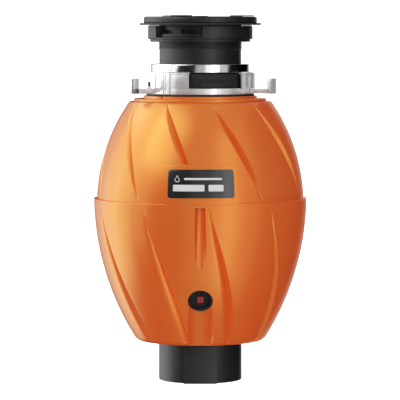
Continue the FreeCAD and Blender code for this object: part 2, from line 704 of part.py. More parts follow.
def bearing(z_low):
    return ring(BEARING_BORE_R, BEARING_R, z_low, z_low + BEARING_WIDTH)


def magnets():
    arc = sector(MAGNET_R[0], MAGNET_R[1], MAGNET_Z, MAGNET_TURN)
    return Part.makeCompound(copies(arc, MAGNET_REPEAT))


def brush_plate():
    return ring(BRUSH_PLATE_R[0], BRUSH_PLATE_R[1], BRUSH_PLATE_Z[0], BRUSH_PLATE_Z[1])


def brush_holders():
    passage_half_width = BRUSH_HALF_WIDTH + BRUSH_GAP
    passage = box((HOLDER_X[0] - CLEAR, HOLDER_X[1] + CLEAR), both_ways(passage_half_width),
                  (BRUSH_Z[0] - BRUSH_GAP, BRUSH_Z[1] + BRUSH_GAP))
    holder = box(HOLDER_X, both_ways(HOLDER_HALF_WIDTH), HOLDER_Z).cut(passage)
    return Part.makeCompound(copies(holder, OPPOSITE))


def carbon_brushes():
    brush = box(BRUSH_X, both_ways(BRUSH_HALF_WIDTH), BRUSH_Z)
    brush = brush.cut(cylinder(BRUSH_TIP_R, BRUSH_Z[0] - CLEAR, BRUSH_Z[1] + CLEAR))
    return Part.makeCompound(copies(brush, OPPOSITE))


def brush_springs():
    z = (BRUSH_Z[0] + BRUSH_Z[1]) / 2
    bore = rod(SPRING_BORE_R, Vector(SPRING_X[0] - CLEAR, 0, z), Vector(SPRING_X[1] + CLEAR, 0, z))
    spring = rod(SPRING_R, Vector(SPRING_X[0], 0, z), Vector(SPRING_X[1], 0, z)).cut(bore)
    return Part.makeCompound(copies(spring, OPPOSITE))


def motor_shaft():
    return cylinder(SHAFT_R, SHAFT_Z[0], SHAFT_Z[1])


def rotor_core():
    core = ring(SHAFT_R, CORE_R, CORE_Z[0], CORE_Z[1])
    cut_z = (CORE_Z[0] - CLEAR, CORE_Z[1] + CLEAR)
    mouth = box(both_ways(CORE_SLOT_MOUTH_HALF_WIDTH),
                (-CORE_R - CLEAR, -CORE_R + CORE_TOOTH_TIP), cut_z)
    pocket = box(both_ways(CORE_SLOT_HALF_WIDTH), (-CORE_R + CORE_TOOTH_TIP, -CORE_SLOT_FLOOR_R), cut_z)
    return carve(core, copies(join([mouth, pocket]), around(CORE_SLOTS)))


def rotor_windings():
    bar_z = (CORE_Z[0] - CLEAR / 2, CORE_Z[1] + CLEAR / 2)
    bar = box(both_ways(BAR_HALF_WIDTH), (-BAR_R[1], -BAR_R[0]), bar_z)
    foot = ring(WINDING_R[0], WINDING_R[1], CORE_Z[0] - WINDING_HEIGHT, CORE_Z[0] - WINDING_GAP)
    head = ring(WINDING_R[0], WINDING_R[1], CORE_Z[1] + WINDING_GAP, CORE_Z[1] + WINDING_HEIGHT)
    return join(copies(bar, around(CORE_SLOTS)) + [foot, head])


def commutator():
    drum = ring(SHAFT_R, COMMUTATOR_R, COMMUTATOR_Z[0], COMMUTATOR_Z[1])
    gap = box(both_ways(COMMUTATOR_GAP_HALF_WIDTH),
              (-COMMUTATOR_R - CLEAR, -COMMUTATOR_R + COMMUTATOR_GAP_DEPTH),
              (COMMUTATOR_Z[0] - CLEAR, COMMUTATOR_Z[1] + CLEAR))
    return carve(drum, copies(gap, around(COMMUTATOR_BARS)))


def through_bolts():
    bolts = [join([cylinder(BOLT_R, BOLT_HEAD_Z[1], BOLT_TOP_Z, x, y),
                   cylinder(BOLT_HEAD_R, BOLT_HEAD_Z[0], BOLT_HEAD_Z[1], x, y)]) for x, y in bolt_points()]
    return Part.makeCompound(bolts)


def bolt_points():
    return [radius_xy(BOLT_CIRCLE_R, turn) for turn in BOLT_TURNS]


# ---------------------------------------------------------------- wet end
def chamber_walls():
    bowl = cylinder(CHAMBER_R, CHAMBER_Z[0], CHAMBER_Z[1])
    bowl = bowl.cut(cylinder(CHAMBER_R - CHAMBER_WALL, CHAMBER_Z[0] + CHAMBER_WALL, CHAMBER_Z[1] + CLEAR))
    bosses = [cylinder(BOLT_BOSS_R, CHAMBER_Z[0], BOLT_BOSS_TOP_Z, x, y) for x, y in bolt_points()]
    return join([bowl, cylinder(CHAMBER_BOSS_R, CHAMBER_Z[0], CHAMBER_BOSS_TOP_Z),
                 cylinder(BEARING_R + CHAMBER_WALL, UPPER_BEARING_Z, CHAMBER_Z[0] + CLEAR),
                 ring(CHAMBER_R - CLEAR, CHAMBER_FLANGE_R, CHAMBER_Z[1] - CHAMBER_WALL, CHAMBER_Z[1]),
                 outlet_rod(OUTLET_FLANGE_R, OUTLET_STUB_Y[0], OUTLET_STUB_Y[1])] + bosses)


def drain_chamber():
    outlet_bore = outlet_rod(OUTLET_BORE_R, BASE_R - CLEAR, OUTLET_FLANGE_Y[1]).cut(
        cylinder(CHAMBER_BOSS_R + CLEAR / 2, CHAMBER_Z[0], CHAMBER_Z[1]))
    cutters = [cylinder(BEARING_R, UPPER_BEARING_Z - CLEAR, UPPER_BEARING_Z + BEARING_WIDTH),
               cylinder(SHAFT_CLEARANCE_R, UPPER_BEARING_Z, CHAMBER_BOSS_TOP_Z + CLEAR),
               cylinder(SEAL_R, SEAL_Z[0] - SEAL_GAP, CHAMBER_BOSS_TOP_Z + CLEAR), outlet_bore]
    cutters += [cylinder(BOLT_R, CHAMBER_Z[0] - CLEAR, BOLT_TOP_Z, x, y) for x, y in bolt_points()]
    return largest(carve(chamber_walls(), cutters).removeSplitter())


def shaft_seal():
    return ring(SEAL_BORE_R, SEAL_R, SEAL_Z[0], SEAL_Z[1])


def discharge_gasket():
    return outlet_tube(OUTLET_FLANGE_R, OUTLET_STUB_Y[1], OUTLET_FLANGE_Y[0])


def outlet_tube(radius, y_near, y_far):
    return outlet_rod(radius, y_near, y_far).cut(outlet_rod(OUTLET_BORE_R, y_near - CLEAR, y_far + CLEAR))


def discharge_spigot():
    neck = outlet_tube(OUTLET_R - OUTLET_SHOULDER_DROP, OUTLET_FLANGE_Y[0], OUTLET_SHOULDER_Y)
    pipe = outlet_tube(OUTLET_R, OUTLET_SHOULDER_Y, OUTLET_END_Y)
    flange = outlet_tube(OUTLET_FLANGE_R, OUTLET_FLANGE_Y[0], OUTLET_FLANGE_Y[1])
    ears = box(both_ways(OUTLET_EAR_X), OUTLET_FLANGE_Y,
               (OUTLET_Z - OUTLET_EAR_HALF_HEIGHT, OUTLET_Z + OUTLET_EAR_HALF_HEIGHT))
    reach = (OUTLET_FLANGE_Y[0] - CLEAR, OUTLET_FLANGE_Y[1] + CLEAR)
    body = join([neck, pipe, flange, ears.cut(outlet_rod(OUTLET_BORE_R, reach[0], reach[1]))])
    return carve(body, [outlet_rod(OUTLET_SCREW_HOLE_R, reach[0], reach[1], x) for x in OUTLET_SCREW_X])


def discharge_screw(x):
    foot_y, head_y, top_y = OUTLET_SCREW_Y
    shank = outlet_rod(OUTLET_SCREW_R, foot_y, head_y + CLEAR / 5, x)
    return join([shank, outlet_rod(OUTLET_SCREW_HEAD_R, head_y, top_y, x)])


def discharge_screws():
    return Part.makeCompound([discharge_screw(x) for x in OUTLET_SCREW_X])


def discharge_lugs():
    lug = box(LUG_BLOCK_X, LUG_BLOCK_Y, (OUTLET_Z - LUG_BLOCK_HALF_HEIGHT, OUTLET_Z + LUG_BLOCK_HALF_HEIGHT))
    lug = lug.cut(cylinder(CHAMBER_R, CHAMBER_Z[0], CHAMBER_Z[1]))
    hole_y = (LUG_BLOCK_Y[0] - CLEAR, LUG_BLOCK_Y[1] + CLEAR)
    lug = lug.cut(outlet_rod(OUTLET_SCREW_R, hole_y[0], hole_y[1], OUTLET_SCREW_X[0]))
    return Part.makeCompound([lug, lug.mirror(ORIGIN, Vector(1, 0, 0))])


def chamber_gasket():
    return ring(SHREDDER_R[1], CHAMBER_GASKET_R, CHAMBER_Z[1], HOPPER_Z[0])


def hopper():
    flange_z = HOPPER_Z[0] + CHAMBER_WALL
    lip_z = NECK_TOP_Z - NECK_LIP_HEIGHT
    outline = [(HOPPER_BORE_R, HOPPER_Z[0]), (CHAMBER_FLANGE_R, HOPPER_Z[0]), (CHAMBER_FLANGE_R, flange_z),
               (HOPPER_R, flange_z), (HOPPER_R, HOPPER_Z[1]), (NECK_R, NECK_FOOT_Z), (NECK_R, lip_z),
               (NECK_LIP_R, lip_z), (NECK_LIP_R, NECK_TOP_Z), (NECK_BORE_R, NECK_TOP_Z),
               (NECK_BORE_R, NECK_FOOT_Z - HOPPER_CONE_DROP), (HOPPER_BORE_R, HOPPER_Z[1] - HOPPER_CONE_DROP)]
    return lathe(outline).cut(inlet_rod(DISHWASHER_BORE_R - CLEAR, BASE_R, HOPPER_R + 20 * CLEAR))


def dishwasher_inlet():
    start = HOPPER_R - CLEAR
    neck = inlet_rod(DISHWASHER_R - OUTLET_SHOULDER_DROP, start, DISHWASHER_SHOULDER_R)
    pipe = inlet_rod(DISHWASHER_R, DISHWASHER_SHOULDER_R, DISHWASHER_END_R)
    collar = inlet_rod(DISHWASHER_COLLAR_R, start, start + 5 * CLEAR)
    bore = inlet_rod(DISHWASHER_BORE_R, start - 10 * CLEAR, BEYOND_R)
    return carve(join([neck, pipe, collar]), [bore, cylinder(HOPPER_R + 0.05, HOPPER_Z[0], HOPPER_Z[1])])


def inlet_grommet():
    skin_y = arc_point(UPPER_ARC, 0, DISHWASHER_Z).x
    near = skin_y - SHELL_WALL - GROMMET_DEPTH
    sleeve = inlet_rod(GROMMET_R, near, skin_y + GROMMET_DEPTH)
    return sleeve.cut(inlet_rod(DISHWASHER_R - OUTLET_SHOULDER_DROP, near - CLEAR, BEYOND_R))


def shredder_ring():
    bore_r, outer_r = SHREDDER_R
    notch = box(both_ways(SHREDDER_NOTCH_HALF_WIDTH),
                (-bore_r - SHREDDER_NOTCH_HALF_WIDTH, -bore_r + 2 * CLEAR),
                (SHREDDER_Z[0] - CLEAR, SHREDDER_NOTCH_TOP_Z))
    return carve(ring(bore_r, outer_r, SHREDDER_Z[0], SHREDDER_Z[1]), copies(notch, around(SHREDDER_TEETH)))


def turntable():
    plate = join([cylinder(TABLE_R, TABLE_Z[0], TABLE_Z[1]), cylinder(TABLE_HUB_R, TABLE_HUB_Z, TABLE_Z[0])])
    low, high = TABLE_HUB_Z - CLEAR, TABLE_Z[1] + CLEAR
    drain = cylinder(TABLE_DRAIN_R, low, high, 0, -TABLE_DRAIN_CIRCLE_R)
    seat = cylinder(PIN_R, low, high, 0, -IMPELLER_PIN_R)
    drains = copies(drain, around(TABLE_DRAINS, 180.0 / TABLE_DRAINS))
    return carve(plate, [cylinder(SHAFT_R, low, high)] + drains + copies(seat, OPPOSITE))


def impeller():
    y = -IMPELLER_PIN_R
    side = both_ways(IMPELLER_HALF_WIDTH)
    disc = cylinder(IMPELLER_HALF_WIDTH, IMPELLER_Z[0], IMPELLER_Z[1], 0, y)
    arm = box(side, (y - IMPELLER_REACH, y), IMPELLER_Z)
    lug = box(side, (y - IMPELLER_REACH, y - IMPELLER_LUG_REACH), (IMPELLER_Z[0], IMPELLER_TOP_Z))
    return join([disc, arm, lug]).cut(cylinder(PIN_HOLE_R, IMPELLER_Z[0] - CLEAR, IMPELLER_TOP_Z, 0, y))


def impeller_rivets():
    y = -IMPELLER_PIN_R
    head_z = IMPELLER_Z[1] + PIN_HEAD_GAP
    rivet = join([cylinder(PIN_R, PIN_FOOT_Z, head_z + PIN_HEAD_GAP / 3, 0, y),
                  cylinder(PIN_HEAD_R, head_z, IMPELLER_Z[1] + PIN_HEAD_HEIGHT, 0, y),
                  cylinder(PIN_FOOT_R, PIN_FOOT_Z, TABLE_Z[0], 0, y)])
    return Part.makeCompound(copies(rivet, OPPOSITE))


def hexagon(across_flats, z_low, z_high):
    corners = [Vector(*radius_xy(across_flats / math.sqrt(3), turn), z_low) for turn in around(6, 30.0)]
    return Part.Face(Part.makePolygon(corners + corners[:1])).extrude(UP * (z_high - z_low))


def table_nut():
    nut_top_z = TABLE_Z[1] + TABLE_NUT_HEIGHT
    bore = cylinder(SHAFT_R, TABLE_Z[0], nut_top_z + CLEAR)
    return hexagon(TABLE_NUT_FLATS, TABLE_Z[1], nut_top_z).cut(bore)


# ---------------------------------------------------------------- sink mount
def neck_gasket():
    return ring(GASKET_R[0], GASKET_R[1], CROWN_TOP_Z, GASKET_TOP_Z)


def cushion_mount():
    neck_r, lip_r, sleeve_r = NECK_R + CUSHION_GAP, NECK_LIP_R + CUSHION_GAP, SLEEVE_R + 2 * CUSHION_GAP
    lip_foot_z, lip_top_z = NECK_TOP_Z - NECK_LIP_HEIGHT - CUSHION_GAP, NECK_TOP_Z + CUSHION_GAP
    sleeve_z = SLEEVE_FOOT_Z - 2 * CUSHION_GAP
    outline = [(neck_r, CUSHION_Z[0]), (CUSHION_FOOT_R, CUSHION_Z[0]), (CUSHION_FOOT_R, CUSHION_STEP_Z),
               (CUSHION_R, CUSHION_STEP_Z), (CUSHION_R, CUSHION_Z[1]), (sleeve_r, CUSHION_Z[1]),
               (sleeve_r, sleeve_z), (SLEEVE_BORE_R, sleeve_z), (SLEEVE_BORE_R, lip_top_z),
               (lip_r, lip_top_z),
               (lip_r, lip_foot_z), (neck_r, lip_foot_z)]
    lug = sector(CUSHION_FOOT_R - CLEAR, LUG_R, LUG_Z, LUG_TURN)
    return join([lathe(outline)] + copies(lug, RING_REPEAT))


def mounting_ring():
    bore_r, outer_r = RING_R
    wall = ring(bore_r, outer_r, RING_Z[0], RING_Z[1])
    top = ring(RING_TOP_BORE_R, outer_r, RING_Z[1] - RING_TOP_THICKNESS, RING_Z[1])
    window = sector(bore_r - CLEAR, outer_r + CLEAR, RING_WINDOW_Z, RING_WINDOW_TURN)
    seam = box(both_ways(RING_SEAM_HALF_WIDTH), (-outer_r - CLEAR, -outer_r + RING_SEAM_DEPTH),
               (RING_Z[0] - CLEAR, RING_WINDOW_Z[0]))
    seam = turned(seam, RING_SEAM_TURN)
    return carve(wall.fuse(top), copies(window, RING_REPEAT) + [seam]).removeSplitter()


def ear_arm():
    half = EAR_THICKNESS / 2
    outer_r, inner_r = EAR_R[1], EAR_R[0]
    tip_z = (EAR_BAR_Z[0], EAR_TIP_Z)
    bar = box(both_ways(half), (-outer_r, -inner_r), EAR_BAR_Z)
    tip = box(both_ways(half), (-outer_r, -EAR_TIP_R), tip_z)
    flange = box((-EAR_FLANGE_WIDTH, half), (-outer_r, -outer_r + EAR_THICKNESS), tip_z)
    root = box(both_ways(half), (-inner_r - CLEAR, -RING_R[1] - EAR_ROOT_GAP),
               (EAR_BAR_Z[0] + PAD_GAP, EAR_ROOT_TOP_Z))
    return turned(join([bar, tip, flange, root]), EAR_TURN)


def mounting_ears():
    pad = sector(RING_R[1], PAD_R, (RING_Z[0] + PAD_GAP, RING_Z[1] - PAD_GAP), PAD_TURN)
    pad = pad.cut(sector(PAD_R - PAD_GROOVE_DEPTH, PAD_R + CLEAR, RING_Z, PAD_GROOVE_TURN))
    relief = turned(box(EAR_RELIEF_X, (-PAD_R - CLEAR, -RING_R[1]), (RING_Z[0], EAR_BAR_Z[1])), EAR_TURN)
    ear = largest(join([pad, ear_arm()]).cut(relief))
    return Part.makeCompound(copies(ear, RING_REPEAT))


def clamp_band():
    band = ring(BAND_R[0], BAND_R[1], BAND_Z[0], BAND_Z[1])
    top = ring(BAND_BORE_R, BAND_R[1], BAND_Z[1] - BAND_TOP_THICKNESS, BAND_Z[1])
    joined = band.fuse(top).removeSplitter()
    rim_edges = [edge for edge in joined.Edges
                 if edge.BoundBox.ZMin > BAND_Z[1] - TOUCH and edge.BoundBox.XMax > BAND_R[1] - NEAR]
    return joined.makeFillet(BAND_ROUND, rim_edges)


def snap_ring():
    return sector(SLEEVE_R, SNAP_RING_R, SNAP_RING_Z, SNAP_RING_TURN)


def thread_outline():
    ridge_count = int((THREAD_Z[1] - THREAD_Z[0]) / THREAD_PITCH)
    outline = []
    for index in range(ridge_count):
        foot = THREAD_Z[0] + index * THREAD_PITCH
        crest = (foot + THREAD_PITCH * THREAD_CREST[0], foot + THREAD_PITCH * THREAD_CREST[1])
        outline += [(THREAD_ROOT_R, foot), (THREAD_R, crest[0]), (THREAD_R, crest[1]),
                    (THREAD_ROOT_R, foot + THREAD_PITCH)]
    return outline


def sink_flange():
    ledge_foot_z, ledge_top_z = FLANGE_LEDGE_Z
    outline = [(SLEEVE_BORE_R, SLEEVE_FOOT_Z), (SLEEVE_R, SLEEVE_FOOT_Z), (SLEEVE_R, ledge_foot_z),
               (FLANGE_LEDGE_R, ledge_foot_z), (FLANGE_LEDGE_R, ledge_top_z), (SLEEVE_R, ledge_top_z),
               (SLEEVE_R, THREAD_Z[0])]
    outline += thread_outline() + [(SLEEVE_R, THREAD_Z[1]), (SLEEVE_R, RIM_Z[0])] + RIM_OUTLINE
    return lathe(dedupe(outline))


def dedupe(outline):
    kept = [outline[0]]
    for point in outline[1:]:
        if math.dist(point, kept[-1]) > 1e-6:
            kept.append(point)
    return kept


def splash_guard():
    low_z, high_z = GUARD_Z
    rim_r = SLEEVE_BORE_R - GUARD_GAP
    guard = lathe([(GUARD_HOLE_R, low_z), (GUARD_HOLE_R + 2 * CLEAR, low_z),
                   (GUARD_WALL_R, high_z - GUARD_SKIN),
                   (GUARD_WALL_R, low_z - GUARD_SKIN), (rim_r, low_z - GUARD_SKIN), (rim_r, high_z),
                   (GUARD_FLOOR_R, high_z), (GUARD_HOLE_R, low_z + 2 * CLEAR)])
    slit = box(both_ways(GUARD_SLIT_HALF_WIDTH), (-GUARD_SLIT_R[1], -GUARD_SLIT_R[0]),
               (low_z - CLEAR, high_z + CLEAR))
    return carve(guard, copies(slit, around(GUARD_SLITS)))


def deck_gasket():
    body = ring(SEAL_RING_BORE_R, SEAL_RING_R, RIM_Z[0] - SEAL_RING_THICKNESS, RIM_Z[0])
    rim_edges = [edge for edge in body.Edges
                 if edge.BoundBox.XMax > SEAL_RING_R - NEAR and edge.Curve.TypeId == "Part::GeomCircle"]
    return body.makeFillet(SEAL_RING_ROUND, rim_edges)


def friction_washer():
    return ring(WASHER_BORE_R, WASHER_R, NUT_Z[1] + WASHER_GAP, RIM_Z[0] - SEAL_RING_THICKNESS - WASHER_GAP)


def nut_walls():
    floor_z = NUT_LIP_Z - CLEAR / 2
    rib = box(both_ways(NUT_RIB_HALF_WIDTH), (-NUT_R + CLEAR / 2, -NUT_INNER_R + CLEAR / 2),
              (NUT_LIP_Z, NUT_Z[1]))
    rib_turns = [NUT_POCKET_TURN[1] + NUT_RIB_OFFSET, NUT_POCKET_TURN[0] - NUT_RIB_OFFSET] + NUT_RIB_TURNS
    ribs = [turned(rib, turn + repeat) for repeat in OPPOSITE for turn in rib_turns]
    return join([ring(NUT_BORE_R, NUT_INNER_R, NUT_Z[0], NUT_Z[1]),
                 ring(NUT_BORE_R, NUT_LIP_R, NUT_Z[0], NUT_LIP_Z),
                 ring(NUT_R - NUT_WALL, NUT_R, floor_z, NUT_Z[1]),
                 ring(NUT_BORE_R, NUT_R, floor_z, NUT_FLOOR_Z),
                 ring(NUT_BORE_R, NUT_R, NUT_ROOF_Z, NUT_Z[1])] + ribs)


def support_nut():
    pocket = sector(NUT_INNER_R, NUT_R + CLEAR, (NUT_FLOOR_Z, NUT_Z[1] + CLEAR), NUT_POCKET_TURN)
    slots = [sector(NUT_BORE_R - CLEAR, NUT_INNER_R + CLEAR, NUT_SLOT_Z, span) for span in NUT_SLOT_TURNS]
    cutters = []
    for shape in [pocket] + slots:
        cutters += copies(shape, OPPOSITE)
    ledge = sector(NUT_INNER_R - CLEAR / 2, NUT_LEDGE_R, NUT_LEDGE_Z, NUT_POCKET_TURN)
    return largest(join([carve(nut_walls(), cutters)] + copies(ledge, OPPOSITE)))


def stopper_tab():
    bore_r, outer_r = STOPPER_TAB_R
    tab = sector(bore_r, outer_r, STOPPER_TAB_Z, both_ways(STOPPER_TAB_HALF_TURN))
    cut_turn = STOPPER_TAB_HALF_TURN + 3 * CLEAR
    rim_z = (RIM_Z[0], RIM_Z[1] + STOPPER_TAB_GAP)
    rim_cut = sector(STOPPER_RIM_R, outer_r + CLEAR, rim_z, both_ways(cut_turn))
    tab = tab.cut(rim_cut)
    top_edges = [edge for edge in tab.Edges
                 if edge.BoundBox.ZMin > STOPPER_TAB_Z[1] - NEAR and edge.BoundBox.YMin > -outer_r + CLEAR]
    return tab.makeFillet(STOPPER_TAB_ROUND, top_edges)


def throat_stopper():
    return join([lathe(STOPPER)] + copies(stopper_tab(), STOPPER_TAB_TURNS))


def stopper_seal():
    return ring(STOPPER_SEAL_R[0], STOPPER_SEAL_R[1], STOPPER_SEAL_Z[0], STOPPER_SEAL_Z[1])


NODES = {
    "lower_shell": lower_shell,
    "upper_shell": upper_shell,
    "label_plate": label_plate,
    "shell_screws": shell_screws,
    "acoustic_liner": acoustic_liner,
    "base_cup": base_cup,
    "terminal_cover": terminal_cover,
    "terminal_block": terminal_block,
    "terminal_screws": terminal_screws,
    "rectifier": rectifier,
    "reset_housing": reset_housing,
    "reset_button": reset_button,
    "overload_switch": overload_switch,
    "motor_can": motor_can,
    "lower_bearing": lambda: bearing(LOWER_BEARING_Z),
    "upper_bearing": lambda: bearing(UPPER_BEARING_Z),
    "magnets": magnets,
    "brush_plate": brush_plate,
    "brush_holders": brush_holders,
    "carbon_brushes": carbon_brushes,
    "brush_springs": brush_springs,
    "motor_shaft": motor_shaft,
    "rotor_core": rotor_core,
    "rotor_windings": rotor_windings,
    "commutator": commutator,
    "through_bolts": through_bolts,
    "drain_chamber": drain_chamber,
    "shaft_seal": shaft_seal,
    "discharge_gasket": discharge_gasket,
    "discharge_spigot": discharge_spigot,
    "discharge_screws": discharge_screws,
    "discharge_lugs": discharge_lugs,
    "chamber_gasket": chamber_gasket,
    "hopper": hopper,
    "dishwasher_inlet": dishwasher_inlet,
    "inlet_grommet": inlet_grommet,
    "shredder_ring": shredder_ring,
    "turntable": turntable,
    "impeller_a": impeller,
    "impeller_b": lambda: turned(impeller(), 180.0),
    "impeller_rivets": impeller_rivets,
    "table_nut": table_nut,
    "neck_gasket": neck_gasket,
    "cushion_mount": cushion_mount,
    "mounting_ring": mounting_ring,
    "mounting_ears": mounting_ears,
    "clamp_band": clamp_band,
    "snap_ring": snap_ring,
    "sink_flange": sink_flange,
    "splash_guard": splash_guard,
    "deck_gasket": deck_gasket,
    "friction_washer": friction_washer,
    "support_nut": support_nut,
    "throat_stopper": throat_stopper,
    "stopper_seal": stopper_seal,
}

os.makedirs("parts", exist_ok=True)
for name, make in NODES.items():
    solid = make()
    print(name, solid.isValid(), len(solid.Solids), round(solid.Volume / 1000.0, 2))
    solid.exportStep("parts/" + name + ".step")
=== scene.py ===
import json
import math

import bmesh
import bpy
import numpy as np
from mathutils import Matrix, Vector


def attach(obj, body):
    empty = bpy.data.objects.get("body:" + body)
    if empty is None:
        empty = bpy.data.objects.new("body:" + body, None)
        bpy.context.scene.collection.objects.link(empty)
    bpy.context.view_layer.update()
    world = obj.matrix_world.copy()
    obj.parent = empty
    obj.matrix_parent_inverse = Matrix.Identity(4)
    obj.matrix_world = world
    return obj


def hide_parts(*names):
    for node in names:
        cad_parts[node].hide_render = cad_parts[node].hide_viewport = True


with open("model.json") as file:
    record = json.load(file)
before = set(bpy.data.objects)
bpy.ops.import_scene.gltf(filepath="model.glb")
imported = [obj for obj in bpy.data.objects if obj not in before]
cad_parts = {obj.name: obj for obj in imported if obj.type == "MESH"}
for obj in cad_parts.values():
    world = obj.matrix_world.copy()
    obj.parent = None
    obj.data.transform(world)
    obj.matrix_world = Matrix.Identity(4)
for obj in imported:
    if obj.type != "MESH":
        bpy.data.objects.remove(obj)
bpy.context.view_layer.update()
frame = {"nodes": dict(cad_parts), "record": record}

# Lengths are in millimetres until a mesh is made. "turn" is an angle about +Z in degrees,
# measured from the front (-Y) towards +X.
MM = 0.001
# Each side arc: radius and height of its centre, and its own radius.
LOWER_ARC = (-163.3, 185.5, 269.7)
UPPER_ARC = (-75.9, 175.7, 179.4)
SEAM_Z = 182.5
SHOULDER_Z = 279.0
BOTTOM_Z = 40.0
LEAF_COUNT = 10
LEAF_PITCH = 360.0 / LEAF_COUNT
SKIN_WALL = 12.0
LEFT_STEPS, RIGHT_STEPS, FLAT_STEPS = 7, 3, 16
SMOOTH_ROWS = 160
SMOOTH_REACH = 11
SMOOTH_TURN_DEGREE = 3

THREE_TURNS = (0.0, 120.0, 240.0)
OPPOSITE_TURNS = (0.0, 180.0)
BASE_SCREW_TURNS = (60.0, 180.0, 300.0)
BASE_SCREW_CIRCLE_R = 36.9
CORNER_R = 4.0
CHANNEL_R = 5.6
CHANNEL_AXIS_R = 103.4
CHANNEL_Z = (100.0, 178.8)
SCREW_AXIS_R = 100.4
SCREW_BORE_R = 2.9
SCREW_BORE_Z = (178.0, 181.1)
RESET_TILT = math.radians(22.8)
RESET_OUTWARD = Vector((0, -math.cos(RESET_TILT), -math.sin(RESET_TILT)))
RESET_INWARD = Vector((0, math.cos(RESET_TILT), math.sin(RESET_TILT)))
RESET_MOUTH = Vector((0, -87.3, 86.4))
RESET_HOLE_R = 12.2
RESET_CUT_DEPTH = 20.0
TROUGH_RISE = Vector((0, -26.7, 49.0))
TROUGH_FOOT = Vector((0, -52.2, 29.0))
TROUGH_R = 15.6
TROUGH_AXIS_OFFSET = 14.2
TROUGH_LENGTH = 61.0
OUTLET_Z = 158.0
OUTLET_HOLE_R = 21.4
OUTLET_FLANGE_Y = 80.0
RINSE_Z = 232.0
RINSE_HOLE_R = 15.4
RINSE_RIDGES = 3
RINSE_RIDGE_PITCH = 6.0
CORD_BORE_R = 8.0
CORD_BORE_Z = 21.0
CROWN_MARK_TURNS = (-12.5, 12.5)

# How far each layer of the label stands off the shell.
PANEL_LIFT = 3.3
PLATE_LIFT = 3.85
INK_LIFT = 3.92
INK_FOOT_LIFT = 3.65
INK_THICKNESS = 0.3
DROPLET_STEPS = 40
DROPLET_TURN = -12.3
DROPLET_Z = 206.4
DROPLET_HALF_WIDTH = 2.4
DROPLET_HALF_HEIGHT = 2.6
DROPLET_TIP = 1.4
DROPLET_TURN_PER_MM = 0.56
DROPLET_HOLE = 0.72

# height, turn of the crease, width left of it, width right of it, depth
LOWER_LEAF = np.array([
    (36.0, 26.0, 4.6, 2.4, 2.4), (41.0, 24.8, 5.0, 2.6, 2.8), (57.0, 21.7, 7.6, 3.2, 4.0),
    (72.0, 20.3, 8.0, 3.4, 4.4), (88.0, 19.0, 7.6, 3.4, 4.4), (108.0, 16.0, 6.0, 3.2, 4.0),
    (122.0, 13.0, 5.4, 3.0, 3.5), (137.0, 9.5, 4.5, 2.6, 2.7), (155.0, 7.0, 3.0, 1.8, 1.5),
    (168.0, 5.4, 1.4, 0.9, 0.5), (173.0, 4.8, 0.3, 0.3, 0.0), (182.5, 3.6, 0.3, 0.3, 0.0)])
UPPER_LEAF = np.array([
    (182.5, 36.2, 0.3, 0.3, 0.0), (187.5, 35.1, 0.5, 0.5, 0.1), (196.0, 33.3, 1.9, 1.6, 1.1),
    (205.0, 31.5, 3.1, 2.4, 2.3), (214.0, 29.4, 4.0, 3.1, 3.3), (221.0, 27.5, 4.5, 3.4, 3.8),
    (235.0, 23.5, 4.9, 3.7, 4.1), (243.0, 21.5, 4.9, 3.6, 4.0), (252.0, 18.6, 4.4, 3.2, 3.4),
    (260.0, 16.0, 3.6, 2.6, 2.5), (268.0, 13.0, 2.3, 1.7, 1.3), (276.0, 10.0, 0.5, 0.5, 0.1),
    (279.0, 9.0, 0.3, 0.3, 0.0)])


# ---------------------------------------------------------------- mesh helpers
def arc_radius(arc, z, grow=0.0):
    centre_r, centre_z, arc_r = arc
    return centre_r + math.sqrt((arc_r + grow) ** 2 - (z - centre_z) ** 2)


def polar(radius, turn, z):
    angle = math.radians(turn)
    return (radius * math.sin(angle), -radius * math.cos(angle), z)


def grid_faces(columns, rows, wrap_columns, wrap_rows):
    faces = []
    for i in range(columns if wrap_columns else columns - 1):
        for j in range(rows if wrap_rows else rows - 1):
            a, b = i, (i + 1) % columns
            c, d = j, (j + 1) % rows
            faces.append((a * rows + c, b * rows + c, b * rows + d, a * rows + d))
    return faces


def rounded(outline, radius, steps=3):
    """Closed 2-D outline with its corners turned into short curves; radius may be one per corner."""
    count = len(outline)
    radii = radius if isinstance(radius, (list, tuple)) else [radius] * count
    result = []
    for i, corner in enumerate(outline):
        before, at, after = (np.array(outline[k % count], float) for k in (i - 1, i, i + 1))
        back, ahead = before - at, after - at
        len_back, len_ahead = np.linalg.norm(back), np.linalg.norm(ahead)
        cosine = float(back @ ahead / (len_back * len_ahead))
        if cosine < -0.985 or radii[i] <= 0:
            result.append(tuple(at))
            continue
        half = math.acos(max(-1.0, min(1.0, cosine))) / 2
        reach = min(radii[i] / math.tan(half), 0.45 * len_back, 0.45 * len_ahead)
        start, end = at + back / len_back * reach, at + ahead / len_ahead * reach
        for k in range(steps + 1):
            t = k / steps
            result.append(tuple((1 - t) ** 2 * start + 2 * t * (1 - t) * at + t * t * end))
    return result


def revolve(outline, span=(0.0, 360.0), segments=None):
    """(radius, z) outline turned about Z over a span of turns, with closed ends unless it is a full turn."""
    full = abs(span[1] - span[0]) > 359.9
    steps = segments or max(3, int(round(abs(span[1] - span[0]) / 2.5)))
    columns = steps if full else steps + 1
    rows = len(outline)
    verts = [polar(r, span[0] + (span[1] - span[0]) * i / steps, z)
             for i in range(columns) for r, z in outline]
    faces = grid_faces(columns, rows, full, True)
    if not full:
        faces += [tuple(range(rows)), tuple(range((columns - 1) * rows, columns * rows))]
    return verts, faces


def ring_outline(bore, radius, z_low, z_high, bevel=0.4):
    return rounded([(bore, z_low), (radius, z_low), (radius, z_high), (bore, z_high)], bevel)


